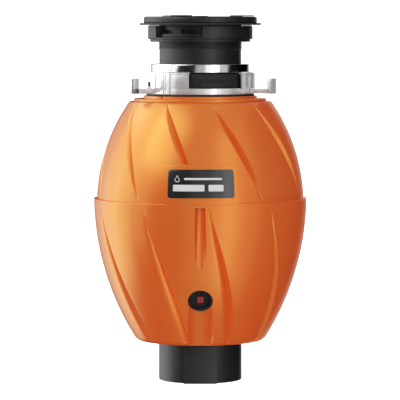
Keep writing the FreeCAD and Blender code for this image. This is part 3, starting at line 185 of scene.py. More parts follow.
def arc_block(bore, radius, z_span, turn_span, bevel=0.4):
    """Piece of a ring with rounded edges all round, its end faces included."""
    return bevelled(revolve(ring_outline(bore, radius, z_span[0], z_span[1], 0.0), turn_span), bevel)


def bevelled(part, width, segments=2, angle=40.0):
    mesh = bmesh.new()
    verts = [mesh.verts.new(v) for v in part[0]]
    for face in part[1]:
        mesh.faces.new([verts[k] for k in face])
    bmesh.ops.recalc_face_normals(mesh, faces=mesh.faces[:])
    limit = math.radians(angle)
    edges = [e for e in mesh.edges if len(e.link_faces) == 2 and e.calc_face_angle(0.0) > limit]
    bmesh.ops.bevel(mesh, geom=edges, offset=width, segments=segments, profile=0.6, affect="EDGES",
                    clamp_overlap=True)
    mesh.verts.ensure_lookup_table()
    result = ([tuple(v.co) for v in mesh.verts], [tuple(v.index for v in f.verts) for f in mesh.faces])
    mesh.free()
    return result


def block(x_span, y_span, z_span, bevel=0.3, turn=0.0):
    corners = [(x, y, z) for x in x_span for y in y_span for z in z_span]
    faces = [(0, 1, 3, 2), (4, 6, 7, 5), (0, 4, 5, 1), (2, 3, 7, 6), (0, 2, 6, 4), (1, 5, 7, 3)]
    part = bevelled((corners, faces), bevel) if bevel else (corners, faces)
    return moved(part, Matrix.Rotation(math.radians(turn), 4, "Z"))


def moved(part, matrix):
    return [tuple(matrix @ Vector(v)) for v in part[0]], part[1]


def plug(radius, low, high, segments):
    """Solid round bar on Z, used as a cutter."""
    return revolve([(0.0, low), (radius, low), (radius, high), (0.0, high)], segments=segments)


def at_front(part, radius):
    return moved(part, Matrix.Translation((0, -radius, 0)))


def along_axis(part, start, direction):
    """Moves a part made on +Z from the origin so that it starts at a point and runs along a direction."""
    turn = Vector((0, 0, 1)).rotation_difference(Vector(direction)).to_matrix().to_4x4()
    return moved(part, Matrix.Translation(Vector(start)) @ turn)


def repeat(part, turns):
    return [moved(part, Matrix.Rotation(math.radians(t), 4, "Z")) for t in turns]


def new_mesh(name, parts, angle=32.0):
    verts, faces = [], []
    for part_verts, part_faces in parts:
        base = len(verts)
        verts += [(x * MM, y * MM, z * MM) for x, y, z in part_verts]
        faces += [tuple(k + base for k in face) for face in part_faces]
    data = bpy.data.meshes.new(name)
    data.from_pydata(verts, [], faces)
    mesh = bmesh.new()
    mesh.from_mesh(data)
    bmesh.ops.remove_doubles(mesh, verts=mesh.verts[:], dist=1e-6)
    bmesh.ops.recalc_face_normals(mesh, faces=mesh.faces[:])
    mesh.to_mesh(data)
    mesh.free()
    obj = bpy.data.objects.new(name, data)
    bpy.context.scene.collection.objects.link(obj)
    shade(obj, angle)
    return obj


def shade(obj, angle):
    mesh = bmesh.new()
    mesh.from_mesh(obj.data)
    limit = math.radians(angle)
    for face in mesh.faces:
        face.smooth = True
    for edge in mesh.edges:
        edge.smooth = len(edge.link_faces) == 2 and edge.calc_face_angle(0.0) < limit
    mesh.to_mesh(obj.data)
    mesh.free()


def cut(obj, cutters, angle=32.0):
    """Takes each cutter out of the object and leaves no modifier behind."""
    for part in cutters:
        tool = new_mesh("cutter", [part])
        modifier = obj.modifiers.new("cut", "BOOLEAN")
        modifier.operation = "DIFFERENCE"
        modifier.solver = "EXACT"
        modifier.object = tool
        graph = bpy.context.evaluated_depsgraph_get()
        result = bpy.data.meshes.new_from_object(obj.evaluated_get(graph))
        obj.modifiers.clear()
        obj.data = result
        bpy.data.objects.remove(tool)
    shade(obj, angle)
    return obj


def place(obj, body, material, nodes=()):
    obj.data.materials.clear()
    obj.data.materials.append(material)
    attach(obj, body)
    if nodes:
        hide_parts(*nodes)
    return obj


# ---------------------------------------------------------------- materials
# The part of a noise's or a crease's range that is spread over the whole effect.
BLOTCH_SPAN = (0.35, 0.7)
GRAIN_SPAN = (0.3, 0.7)
EDGE_SPAN = (0.53, 0.6)
MOST_WEAR = 0.5
FINE_SHARE = 0.4
SMEAR_SCALE = 5.0


def tree_of(name):
    material = bpy.data.materials.new(name)
    material.use_nodes = True
    nodes = material.node_tree.nodes
    return material, nodes, material.node_tree.links, nodes["Principled BSDF"]


def noise(nodes, links, coordinate, scale, detail=4.0, roughness=0.55, stretch=None):
    texture = nodes.new("ShaderNodeTexNoise")
    texture.inputs["Scale"].default_value = scale
    texture.inputs["Detail"].default_value = detail
    texture.inputs["Roughness"].default_value = roughness
    if stretch:
        mapping = nodes.new("ShaderNodeMapping")
        mapping.inputs["Scale"].default_value = stretch
        links.new(coordinate, mapping.inputs["Vector"])
        coordinate = mapping.outputs["Vector"]
    links.new(coordinate, texture.inputs["Vector"])
    return texture.outputs["Fac"]


def ramp(nodes, links, source, source_span, result_span):
    node = nodes.new("ShaderNodeMapRange")
    node.inputs["From Min"].default_value = source_span[0]
    node.inputs["From Max"].default_value = source_span[1]
    node.inputs["To Min"].default_value = result_span[0]
    node.inputs["To Max"].default_value = result_span[1]
    links.new(source, node.inputs["Value"])
    return node.outputs["Result"]


def arithmetic(nodes, links, operation, first, second):
    node = nodes.new("ShaderNodeMath")
    node.operation = operation
    links.new(first, node.inputs[0])
    links.new(second, node.inputs[1])
    return node.outputs["Value"]


def two_tones(nodes, links, soft, colour, shade_colour):
    tone = nodes.new("ShaderNodeMix")
    tone.data_type = "RGBA"
    tone.inputs["A"].default_value = (*colour, 1.0)
    tone.inputs["B"].default_value = (*shade_colour, 1.0)
    links.new(ramp(nodes, links, soft, BLOTCH_SPAN, (0.0, 1.0)), tone.inputs["Factor"])
    return tone.outputs["Result"]


def worn_edges(nodes, links, colour_out, smear, wear):
    pointiness = nodes.new("ShaderNodeNewGeometry").outputs["Pointiness"]
    edge = ramp(nodes, links, pointiness, EDGE_SPAN, (0.0, MOST_WEAR))
    worn = nodes.new("ShaderNodeMix")
    worn.data_type = "RGBA"
    links.new(arithmetic(nodes, links, "MULTIPLY", edge, smear), worn.inputs["Factor"])
    links.new(colour_out, worn.inputs["A"])
    worn.inputs["B"].default_value = (*wear, 1.0)
    return worn.outputs["Result"]


def uneven_gloss(nodes, links, smear, fine, roughness, spread):
    broad = ramp(nodes, links, smear, GRAIN_SPAN, (roughness - spread, roughness + spread))
    small = ramp(nodes, links, fine, GRAIN_SPAN, (-spread * FINE_SHARE, spread * FINE_SHARE))
    return arithmetic(nodes, links, "ADD", broad, small)


def finish_of(name, colour, shade_colour, roughness, metallic=0.0, tint=(1.0, 1.0, 1.0), ior=1.5,
              grain=900.0, grain_height=0.00002, grain_strength=0.35, spread=0.06, specular=0.5,
              coat=0.0, coat_roughness=0.1, blotch=28.0, stretch=None, wear=None):
    """Moulded, cast or rolled finish: two close tones, uneven gloss, fine grain and worn edges."""
    material, nodes, links, shader = tree_of(name)
    place_at = nodes.new("ShaderNodeTexCoord").outputs["Object"]
    soft = noise(nodes, links, place_at, blotch, 3.0)
    fine = noise(nodes, links, place_at, grain, 5.0, 0.6, stretch)
    smear = noise(nodes, links, place_at, blotch * SMEAR_SCALE, 6.0, 0.7, stretch)
    colour_out = two_tones(nodes, links, soft, colour, shade_colour)
    if wear:
        colour_out = worn_edges(nodes, links, colour_out, smear, wear)
    links.new(colour_out, shader.inputs["Base Color"])
    links.new(uneven_gloss(nodes, links, smear, fine, roughness, spread), shader.inputs["Roughness"])
    bump = nodes.new("ShaderNodeBump")
    bump.inputs["Strength"].default_value = grain_strength
    bump.inputs["Distance"].default_value = grain_height
    links.new(fine, bump.inputs["Height"])
    links.new(bump.outputs["Normal"], shader.inputs["Normal"])
    shader.inputs["Metallic"].default_value = metallic
    shader.inputs["Specular IOR Level"].default_value = specular
    shader.inputs["IOR"].default_value = ior
    shader.inputs["Specular Tint"].default_value = (*tint, 1.0)
    shader.inputs["Coat Weight"].default_value = coat
    shader.inputs["Coat Roughness"].default_value = coat_roughness
    return material


ORANGE = finish_of("orange_plastic", (0.93, 0.108, 0.018), (0.90, 0.101, 0.016),
                   0.31, grain=1500.0, spread=0.03, specular=1.0, tint=(0.68, 1.0, 0.25), ior=1.75,
                   wear=(0.9, 0.17, 0.03), grain_height=0.00001)
BLACK = finish_of("black_plastic", (0.012, 0.012, 0.013), (0.016, 0.016, 0.017),
                  0.38, grain=2200.0, spread=0.05, specular=0.40, wear=(0.06, 0.06, 0.062),
                  grain_strength=0.5)
LABEL = finish_of("label_gloss", (0.018, 0.018, 0.019), (0.022, 0.022, 0.023), 0.24, grain=500.0, spread=0.03,
                  specular=0.5, coat=0.4, coat_roughness=0.12, grain_strength=0.1)
INK = finish_of("label_ink", (0.86, 0.86, 0.86), (0.80, 0.80, 0.80), 0.42, grain=1800.0, spread=0.05)
RED = finish_of("red_button_plastic", (0.34, 0.020, 0.026), (0.28, 0.016, 0.020),
                0.34, grain=1800.0, spread=0.05, wear=(0.6, 0.08, 0.08))
SATIN = finish_of("satin_plating", (0.90, 0.905, 0.93), (0.84, 0.845, 0.87), 0.23, metallic=0.45, grain=900.0,
                  specular=0.7, spread=0.04, grain_strength=0.12, stretch=(1.0, 1.0, 8.0))
CHROME = finish_of("chrome_plating", (0.86, 0.865, 0.88), (0.80, 0.805, 0.82),
                   0.17, metallic=1.0, grain=700.0, spread=0.03, grain_strength=0.08,
                   stretch=(1.0, 1.0, 8.0))
STEEL = finish_of("brushed_stainless", (0.60, 0.60, 0.59), (0.52, 0.52, 0.51),
                  0.27, metallic=1.0, grain=600.0, stretch=(1.0, 1.0, 14.0), spread=0.07,
                  wear=(0.8, 0.8, 0.8))
MOTOR = finish_of("zinc_coated_steel", (0.42, 0.43, 0.44), (0.32, 0.33, 0.35),
                  0.38, metallic=1.0, grain=300.0, spread=0.09, blotch=90.0)
CAST = finish_of("cast_alloy", (0.40, 0.40, 0.41), (0.33, 0.33, 0.34),
                 0.5, metallic=1.0, grain=1300.0, spread=0.08, grain_height=0.00008,
                 grain_strength=0.7, wear=(0.6, 0.6, 0.6))
COPPER = finish_of("enamelled_copper", (0.62, 0.24, 0.10), (0.48, 0.16, 0.06),
                   0.32, metallic=1.0, grain=1400.0, stretch=(1.0, 1.0, 9.0), grain_strength=0.6)
FERRITE = finish_of("ferrite", (0.035, 0.034, 0.034), (0.055, 0.052, 0.05),
                    0.62, grain=1600.0, grain_strength=0.6)
RUBBER = finish_of("black_rubber", (0.012, 0.012, 0.012), (0.018, 0.018, 0.018),
                   0.58, grain=1900.0, spread=0.08, specular=0.35, grain_strength=0.6)
FOAM = finish_of("grey_foam", (0.12, 0.12, 0.125), (0.08, 0.08, 0.085),
                 0.85, grain=420.0, grain_height=0.0004, grain_strength=0.9)
FIBRE = finish_of("resin_fibre", (0.030, 0.027, 0.024), (0.022, 0.020, 0.018), 0.55, grain=800.0,
                  stretch=(1.0, 6.0, 1.0))
WHITE = finish_of("white_plastic", (0.72, 0.72, 0.70), (0.66, 0.66, 0.64), 0.4, grain=1500.0)
SLOT_MATERIAL = {"orange_shell": ORANGE, "black_plastic": BLACK, "label_black": LABEL, "red_button": RED,
                 "chrome_ring": CHROME, "stainless": STEEL, "motor_steel": MOTOR, "cast_alloy": CAST,
                 "copper": COPPER, "ferrite": FERRITE, "rubber_black": RUBBER, "grey_foam": FOAM,
                 "fibre": FIBRE, "white_plastic": WHITE}


# ---------------------------------------------------------------- fluted shells
def smooth_table(table):
    """Leaf table resampled with a cubic crease line and blended widths, so that no row shows as a kink."""
    heights = np.linspace(table[0, 0], table[-1, 0], SMOOTH_ROWS)
    rows = [heights, np.polyval(np.polyfit(table[:, 0], table[:, 1], SMOOTH_TURN_DEGREE), heights)]
    window = np.hanning(2 * SMOOTH_REACH + 3)[1:-1]
    for k in range(2, table.shape[1]):
        value = np.pad(np.interp(heights, table[:, 0], table[:, k]), SMOOTH_REACH, mode="edge")
        rows.append(np.convolve(value, window / window.sum(), mode="valid"))
    return np.array(rows).T


def fluted_skin(name, arc, table, rings, inner, left_bow):
    """Shell whose outside follows an arc with leaf grooves. rings: (z, radius pulled in, groove share)."""
    smooth = smooth_table(table)
    columns_at = []
    for z, pull, share in rings:
        level = max(z, smooth[0, 0])
        found = leaf_columns(level, arc, smooth, left_bow)
        radius = arc_radius(arc, z) - pull
        columns_at.append([(radius - drop * share, turn, z) for turn, drop in found])
    count = len(columns_at[0])
    first, last = columns_at[0], columns_at[-1]
    rows = columns_at + [[(r, last[i][1], z) for i in range(count)] for r, z in inner["top"]]
    rows += [[(r, first[i][1], z) for i in range(count)] for r, z in inner["foot"]]
    verts = [polar(*rows[j][i]) for i in range(count) for j in range(len(rows))]
    return new_mesh(name, [(verts, grid_faces(count, len(rows), True, True))], 24.0)


def leaf_columns(z, arc, table, left_bow):
    """(turn, drop) of the columns at one height; left_bow is how softly the wide left wall sets in."""
    radius = arc_radius(arc, z)
    crease, left, right, depth = (float(np.interp(z, table[:, 0], table[:, k])) for k in (1, 2, 3, 4))
    left_turn, right_turn = math.degrees(left / radius), math.degrees(right / radius)
    columns = []
    for k in range(LEFT_STEPS):
        share = k / LEFT_STEPS
        drop = depth * ((1 - left_bow) * share + left_bow * share ** 2)
        columns.append((crease - left_turn * (1 - share), drop))
    for k in range(RIGHT_STEPS):
        columns.append((crease + right_turn * k / RIGHT_STEPS, depth * (1 - k / RIGHT_STEPS)))
    flat = LEAF_PITCH - left_turn - right_turn
    columns += [(crease + right_turn + flat * k / FLAT_STEPS, 0.0) for k in range(FLAT_STEPS)]
    return [(turn + LEAF_PITCH * leaf, drop) for leaf in range(LEAF_COUNT) for turn, drop in columns]


def lower_cutters():
    cutters = repeat(at_front(plug(CHANNEL_R, *CHANNEL_Z, 48), CHANNEL_AXIS_R), THREE_TURNS)
    cutters += repeat(at_front(plug(SCREW_BORE_R, *SCREW_BORE_Z, 32), SCREW_AXIS_R), THREE_TURNS)
    hole = plug(RESET_HOLE_R, 0.0, 2 * RESET_CUT_DEPTH, 72)
    cutters.append(along_axis(hole, RESET_MOUTH - RESET_OUTWARD * RESET_CUT_DEPTH, RESET_OUTWARD))
    slope = TROUGH_RISE.normalized()
    away = Vector((0, -slope.z, slope.y))
    scoop = plug(TROUGH_R, 0.0, TROUGH_LENGTH, 160)
    cutters.append(along_axis(scoop, TROUGH_FOOT + away * TROUGH_AXIS_OFFSET, slope))
    cutters.append(along_axis(plug(OUTLET_HOLE_R, 0.0, 70.0, 72), (0, 60, OUTLET_Z), (0, 1, 0)))
    return cutters


def lower_skin():
    rings = []
    for angle in range(0, 90, 15):
        fall = math.radians(angle)
        rings.append((BOTTOM_Z + CORNER_R * (1 - math.cos(fall)), CORNER_R * (1 - math.sin(fall)), 0.6))
    heights = list(np.linspace(BOTTOM_Z + CORNER_R, SEAM_Z - 0.5, 96))
    rings += [(z, 0.0, 1.0) for z in heights] + [(SEAM_Z - 0.15, 0.15, 1.0), (SEAM_Z, 0.5, 1.0)]
    wall = [(arc_radius(LOWER_ARC, z) - SKIN_WALL, z) for z in np.linspace(SEAM_Z, BOTTOM_Z + 5, 14)]
    foot = [(50.0, BOTTOM_Z + CORNER_R), (41.9, BOTTOM_Z + CORNER_R), (41.9, BOTTOM_Z)]
    skin = fluted_skin("lower_shell_skin", LOWER_ARC, LOWER_LEAF, rings, {"top": wall, "foot": foot}, 0.8)
    return place(cut(skin, lower_cutters(), 24.0), "housing", ORANGE, ["lower_shell"])


def upper_skin():
    heights = list(np.linspace(SEAM_Z, SHOULDER_Z - 0.7, 72))
    rings = [(z, 0.0, 1.0) for z in heights] + [(SHOULDER_Z - 0.25, 0.12, 1.0), (SHOULDER_Z, 0.7, 1.0)]
    crown = rounded([(66.2, SHOULDER_Z), (66.0, 281.9), (56.7, 282.1), (56.5, 284.6), (46.0, 284.6),
                     (46.0, 276.0)], 0.45)
    wall = [(arc_radius(UPPER_ARC, z) - SKIN_WALL * 0.5, z) for z in np.linspace(273.0, SEAM_Z, 12)]
    inner = {"top": crown + wall, "foot": []}
    skin = fluted_skin("upper_shell_skin", UPPER_ARC, UPPER_LEAF, rings, inner, 0.35)
    inlet = plug(RINSE_HOLE_R, 0.0, 60.0, 60)
    marks = [block((-0.35, 0.35), (-58.0, -55.9), (282.15, 286.0), 0.0, turn) for turn in CROWN_MARK_TURNS]
    relief = revolve([(55.4, 282.2), (58.0, 282.2), (58.0, 286.0), (55.4, 286.0)], (-43.0, -13.6))
    cutters = [along_axis(inlet, (0, 60, RINSE_Z), (0, 1, 0))] + marks + [relief]
    return place(cut(skin, cutters, 24.0), "housing", ORANGE, ["upper_shell"])


def plate_columns(half, corner, columns):
    """Places across a plate, closer together where its corners round off."""
    across = [-half + 2 * half * k / columns for k in range(columns + 1)]
    for k in range(1, 5):
        inset = corner * (1 - math.cos(math.radians(90.0 * k / 5)))
        across += [-half + inset, half - inset]
    return sorted(set(round(place_across, 5) for place_across in across))


def curved_plate(arc, grow, thickness, turns, heights, corner, columns=36, rows=14):
    """Plate with rounded corners lying on an arc surface: its outer face stands grow off the arc."""
    middle = (heights[0] + heights[1]) / 2
    scale = math.degrees(1.0 / (arc_radius(arc, middle) + grow))
    half = (turns[1] - turns[0]) / 2 / scale
    centre = (turns[0] + turns[1]) / 2
    across = plate_columns(half, corner, columns)
    verts = []
    for depth in (0.0, thickness):
        for s in across:
            edge = max(0.0, corner - (half - abs(s)))
            trim = corner - math.sqrt(max(0.0, corner ** 2 - edge ** 2))
            for j in range(rows + 1):
                z = heights[0] + trim + (heights[1] - heights[0] - 2 * trim) * j / rows
                verts.append(polar(arc_radius(arc, z, grow) - depth, centre + s * scale, z))
    return verts, plate_faces(len(across), rows + 1)


def plate_faces(columns, rows):
    face = grid_faces(columns, rows, False, False)
    size = columns * rows
    faces = face + [tuple(k + size for k in reversed(f)) for f in face]
    border = list(range(rows)) + [i * rows + rows - 1 for i in range(1, columns)]
    border += [(columns - 1) * rows + j for j in range(rows - 2, -1, -1)]
    border += [i * rows for i in range(columns - 2, 0, -1)]
    for k, a in enumerate(border):
        b = border[(k + 1) % len(border)]
        faces.append((a, b, b + size, a + size))
    return faces


def label_panel():
    slab = curved_plate(UPPER_ARC, PANEL_LIFT, 7.7, (-20.4, 20.4), (182.3, 220.2), 0.6)
    return place(new_mesh("label_panel", [bevelled(slab, 0.35)], 30.0), "housing", ORANGE)


def stripe(turns, heights, corner):
    return curved_plate(UPPER_ARC, INK_LIFT, INK_THICKNESS, turns, heights, corner, 10, 3)


def droplet():
    """Outline of a drop, made as a thin closed band."""
    layers = ((1.0, INK_LIFT), (DROPLET_HOLE, INK_LIFT), (DROPLET_HOLE, INK_FOOT_LIFT), (1.0, INK_FOOT_LIFT))
    verts = []
    for k in range(DROPLET_STEPS):
        angle = 2 * math.pi * k / DROPLET_STEPS
        above = max(0.0, math.sin(angle))
        bulge = 1.0 - 0.25 * math.sin(angle)
        across = DROPLET_HALF_WIDTH * bulge * math.cos(angle) * (1 - 0.42 * above)
        height = DROPLET_HALF_HEIGHT * math.sin(angle) + (DROPLET_TIP * above ** 3)
        for inset, lift in layers:
            z = DROPLET_Z + height * inset
            turn = DROPLET_TURN + across * inset * DROPLET_TURN_PER_MM
            verts.append(polar(arc_radius(UPPER_ARC, z, lift), turn, z))
    return verts, grid_faces(DROPLET_STEPS, len(layers), True, True)


def label_parts():
    plate = curved_plate(UPPER_ARC, PLATE_LIFT, 1.6, (-17.3, 18.0), (188.4, 215.8), 2.6)
    place(new_mesh("label_plate_gloss", [bevelled(plate, 0.22)], 30.0), "housing", LABEL,
          ["label_plate"])
    stripes = [stripe((-8.6, 11.6), (205.9, 207.9), 0.9), stripe((-14.4, 2.2), (195.0, 201.3), 0.8),
               stripe((4.3, 12.2), (195.0, 201.3), 0.8)]
    place(new_mesh("label_stripes", stripes, 30.0), "housing", INK)
    place(new_mesh("label_droplet", [droplet()], 30.0), "housing", INK)


# ---------------------------------------------------------------- base, reset, screws, pipes


def base_cup():
    outline = rounded([(0.0, 0.9), (26.0, 0.9), (27.5, 2.2), (31.0, 2.2), (32.5, 0.0), (41.5, 0.0),
                       (41.5, 43.7), (47.8, 43.7), (47.8, 46.5), (39.0, 46.5), (39.0, 5.0), (0.0, 5.0)],
                      [0, 0.6, 0.5, 0.5, 0.6, 1.2, 0.0, 0.3, 0.3, 0.3, 0.5, 0])
    cup = new_mesh("base_cup_body", [revolve(outline, segments=144)])
    cutters = [block((-16.35, 16.35), (-60.0, -36.2), (-2.0, 39.85), 0.0),
               along_axis(plug(CORD_BORE_R, 0.0, 30.0, 48), (0, 30, CORD_BORE_Z), (0, 1, 0))]
    for turn in BASE_SCREW_TURNS:
        seat = Vector(polar(BASE_SCREW_CIRCLE_R, turn, -1.0))
        cutters.append(moved(plug(2.6, 0.0, 2.6, 32), Matrix.Translation(seat)))
    place(cut(cup, cutters), "housing", BLACK, ["base_cup"])


def shell_screw_heads():
    screw = revolve(rounded([(0.0, 179.9), (1.1, 179.9), (1.1, 178.8), (2.4, 178.8), (2.7, 180.9),
                             (0.0, 180.9)], 0.3), segments=32)
    heads = repeat(at_front(screw, SCREW_AXIS_R), THREE_TURNS)
    place(new_mesh("shell_screw_heads", heads), "housing", STEEL, ["shell_screws"])


def cord_inlet_collar():
    outline = rounded([(CORD_BORE_R, 0.0), (12.0, 0.0), (12.0, 8.6), (CORD_BORE_R, 8.6)], 0.8)
    collar = along_axis(revolve(outline, segments=64), (0, 37.4, CORD_BORE_Z), (0, 1, 0))
    place(new_mesh("cord_inlet_collar", [collar]), "housing", BLACK)


def terminal_cover():
    plate = [block((-16.2, 16.2), (-42.7, -36.6), (0.0, 39.6), 0.7),
             block((-16.9, 16.9), (-39.2, -36.4), (0.0, 40.2), 0.3)]
    place(new_mesh("terminal_cover_plate", plate), "housing", BLACK, ["terminal_cover"])


def base_screw_heads():
    head = revolve(rounded([(0.0, 1.2), (0.9, 1.2), (0.9, 0.0), (2.2, 0.0), (2.4, 1.4), (0.0, 1.4)], 0.2),
                   segments=32)
    seats = [Vector(polar(BASE_SCREW_CIRCLE_R, turn, 0.3)) for turn in BASE_SCREW_TURNS]
    heads = [moved(head, Matrix.Translation(seat)) for seat in seats]
    place(new_mesh("base_screw_heads", heads), "housing", STEEL)


def reset_parts():
    cup = revolve(rounded([(0.0, 6.2), (9.6, 6.2), (9.9, 2.3), (11.9, 2.3), (11.9, 19.8), (0.0, 19.8)], 0.5),
                  segments=72)
    well = along_axis(cup, RESET_MOUTH, RESET_INWARD)
    place(new_mesh("reset_well", [well]), "housing", RUBBER, ["reset_housing"])
    button = along_axis(block((-3.2, 3.2), (-3.2, 3.2), (3.2, 11.0), 0.5), RESET_MOUTH, RESET_INWARD)
    place(new_mesh("reset_key", [button]), "reset", RED, ["reset_button"])


def outlet_pipe():
    outline = rounded([(17.0, 0.0), (23.0, 0.0), (23.0, 4.0), (19.4, 4.0), (19.4, 30.0), (20.0, 30.0),
                       (20.0, 70.0), (17.0, 70.0)], [0.3, 0.5, 0.5, 0.8, 0.3, 0.3, 0.9, 0.9])
    pipe = along_axis(revolve(outline, segments=120), (0, OUTLET_FLANGE_Y, OUTLET_Z), (0, 1, 0))
    ears = [block(x_span, (80.05, 83.95), (151.2, 164.8), 0.6) for x_span in ((-31.8, -18.0), (18.0, 31.8))]
    place(new_mesh("outlet_pipe", [pipe] + ears), "housing", BLACK, ["discharge_spigot"])


def rinse_inlet_pipe():
    outline = [(8.5, 0.0), (10.4, 0.0), (10.4, 32.0)]
    for k in range(RINSE_RIDGES):
        start = RINSE_RIDGE_PITCH * k
        outline += [(11.0, 32.2 + start), (10.7, 36.0 + start), (10.9, 37.6 + start)]
    outline += [(11.0, 50.4), (11.0, 53.4), (10.2, 54.0), (8.5, 54.0)]
    pipe = along_axis(revolve(outline, segments=72), (0, 69.0, RINSE_Z), (0, 1, 0))
    place(new_mesh("rinse_inlet_pipe", [pipe]), "housing", BLACK, ["dishwasher_inlet"])


def rinse_inlet_grommet():
    outline = rounded([(10.5, 0.0), (15.2, 0.0), (15.2, 4.6), (16.6, 5.4), (16.6, 7.2), (10.6, 7.2)], 0.5)
    base_y = arc_radius(UPPER_ARC, RINSE_Z) - 6.0
    grommet = along_axis(revolve(outline, segments=72), (0, base_y, RINSE_Z), (0, 1, 0))
    place(new_mesh("rinse_inlet_grommet", [grommet]), "housing", RUBBER, ["inlet_grommet"])


# ---------------------------------------------------------------- sink mount
def helix(bore, crest, foot, top, pitch, steps=120):
    turns = (top - foot) / pitch
    columns = int(turns * steps)
    verts = []
    for i in range(columns + 1):
        z = foot + pitch * i / steps
        fade = min(1.0, i / (steps * 0.3), (columns - i) / (steps * 0.3))
        tip = bore + 0.15 + (crest - bore - 0.15) * fade
        for r, dz in ((bore, 0.0), (tip, 0.62), (tip, 1.12), (bore, 1.75)):
            verts.append(polar(r, 360.0 * i / steps, z + dz))
    faces = grid_faces(columns + 1, 4, False, True)
    return verts, faces + [(0, 1, 2, 3), tuple(columns * 4 + k for k in (3, 2, 1, 0))]


def rim_parts():
    outline = [(38.2, 303.0), (40.8, 303.0), (40.8, 308.8), (46.8, 308.8), (46.8, 312.0), (40.8, 312.0),
               (40.8, 357.0), (56.5, 357.0), (56.5, 363.5), (50.0, 363.5), (44.0, 359.4), (39.8, 357.6),
               (38.2, 355.4)]
    fillets = [0.4, 0.4, 0.3, 0.3, 0.3, 0.3, 0.6, 0.8, 2.2, 2.5, 2.5, 1.0, 1.5]
    body = revolve(rounded(outline, fillets, 4), segments=160)
    thread = helix(40.6, 41.8, 329.5, 351.5, 2.1)
    place(new_mesh("sink_rim_sleeve", [body, thread]), "housing", BLACK, ["sink_flange"])
    brim = revolve(ring_outline(41.1, 60.5, 355.0, 357.0, 0.7), segments=160)
    place(new_mesh("sink_seal_brim", [brim]), "housing", RUBBER, ["deck_gasket"])


def nut_parts():
    sleeve = revolve(ring_outline(42.15, 44.0, 338.3, 354.2, 0.3), segments=144)
    inner = new_mesh("support_nut_body", [sleeve])
    slots = [revolve([(41.0, 346.5), (46.0, 346.5), (46.0, 350.3), (41.0, 350.3)], (a + r, b + r))
             for a, b in ((-54.0, -38.0), (-24.4, -3.0)) for r in OPPOSITE_TURNS]
    cut(inner, slots)
    wall = rounded([(43.5, 341.0), (52.2, 341.0), (52.2, 354.2), (43.5, 354.2), (43.5, 353.0), (50.0, 353.0),
                    (50.0, 342.7), (43.5, 342.7)], [0, 0.5, 0.5, 0, 0, 0.3, 0.3, 0])
    parts = [revolve(wall, (2.5 + r, 122.5 + r)) for r in OPPOSITE_TURNS]
    parts.append(revolve(ring_outline(42.15, 50.0, 338.3, 341.6, 0.5), segments=144))
    parts.append(revolve(ring_outline(43.5, 52.2, 341.0, 342.7, 0.4), segments=144))
    ledge = ring_outline(43.8, 47.2, 342.0, 346.3, 0.7)
    parts += [revolve(ledge, (-57.5 + r, 2.5 + r)) for r in OPPOSITE_TURNS]
    rib = block((-0.9, 0.9), (-51.9, -43.4), (341.5, 354.1), 0.3)
    parts += repeat(rib, [3.6, -58.6, 33.0, 62.0, 91.0, 183.6, 121.4, 213.0, 242.0, 271.0])
    place(new_mesh("support_nut_skirt", parts), "nut", BLACK, ["support_nut"])
    place(inner, "nut", BLACK)
    washer = revolve(ring_outline(42.2, 51.0, 354.3, 354.9, 0.2), segments=120)
    place(new_mesh("nut_washer", [washer]), "nut_carriage", FIBRE, ["friction_washer"])


def chrome_band():
    band = revolve(rounded([(47.6, 308.3), (49.0, 308.3), (49.0, 316.3), (41.2, 316.3), (41.2, 314.8),
                            (47.6, 314.8)], [0.2, 0.3, 0.8, 0.2, 0.2, 0.3], 4), segments=180)
    place(new_mesh("chrome_band", [band]), "housing", CHROME, ["clamp_band"])


def ring_wall_parts():
    foot = revolve(ring_outline(51.5, 53.0, 286.7, 292.6, 0.25), segments=180)
    lip = rounded([(49.2, 306.6), (51.8, 306.6), (51.8, 306.2), (53.0, 306.2), (53.0, 308.0), (49.2, 308.0)],
                  [0.2, 0.1, 0.1, 0.1, 0.5, 0.3])
    lips = [revolve(lip, (51.0 + r, 107.6 + r)) for r in THREE_TURNS]
    ring = new_mesh("mount_ring_foot", [foot])
    cut(ring, repeat(block((-0.3, 0.3), (-54.0, -52.3), (285.0, 293.0), 0.0, 19.0), THREE_TURNS))
    walls = [arc_block(51.5, 53.0, (292.2, 306.8), (51.0 + r, 107.6 + r), 0.25) for r in THREE_TURNS]
    place(ring, "twist_ring", SATIN, ["mounting_ring"])
    place(new_mesh("mount_ring_walls", lips + walls), "twist_ring", SATIN)


def ring_ears():
    pads, arms = [], []
    for r in THREE_TURNS:
        for span in ((-65.5, -41.6), (-40.6, -39.2), (-38.2, -34.0)):
            pads.append(arc_block(52.8, 54.6, (287.1, 307.6), (span[0] + r, span[1] + r), 0.3))
        pads.append(arc_block(52.8, 53.9, (287.1, 307.6), (-42.0 + r, -37.9 + r), 0.2))
        turn = -55.6 + r
        arms += [block((-1.0, 1.0), (-82.4, -53.6), (287.4, 292.5), 0.3, turn),
                 block((-1.0, 1.0), (-82.4, -73.5), (287.4, 302.5), 0.3, turn),
                 block((-10.5, 1.0), (-82.4, -80.4), (287.4, 302.5), 0.35, turn),
                 block((-1.0, 1.0), (-55.6, -52.9), (287.8, 305.0), 0.3, turn)]
    place(new_mesh("ring_ears", pads + arms), "twist_ring", SATIN, ["mounting_ears"])


def neck_seal():
    gasket = revolve(ring_outline(49.0, 54.0, 284.6, 286.4, 0.5), segments=144)
    place(new_mesh("neck_seal", [gasket]), "housing", RUBBER, ["neck_gasket"])


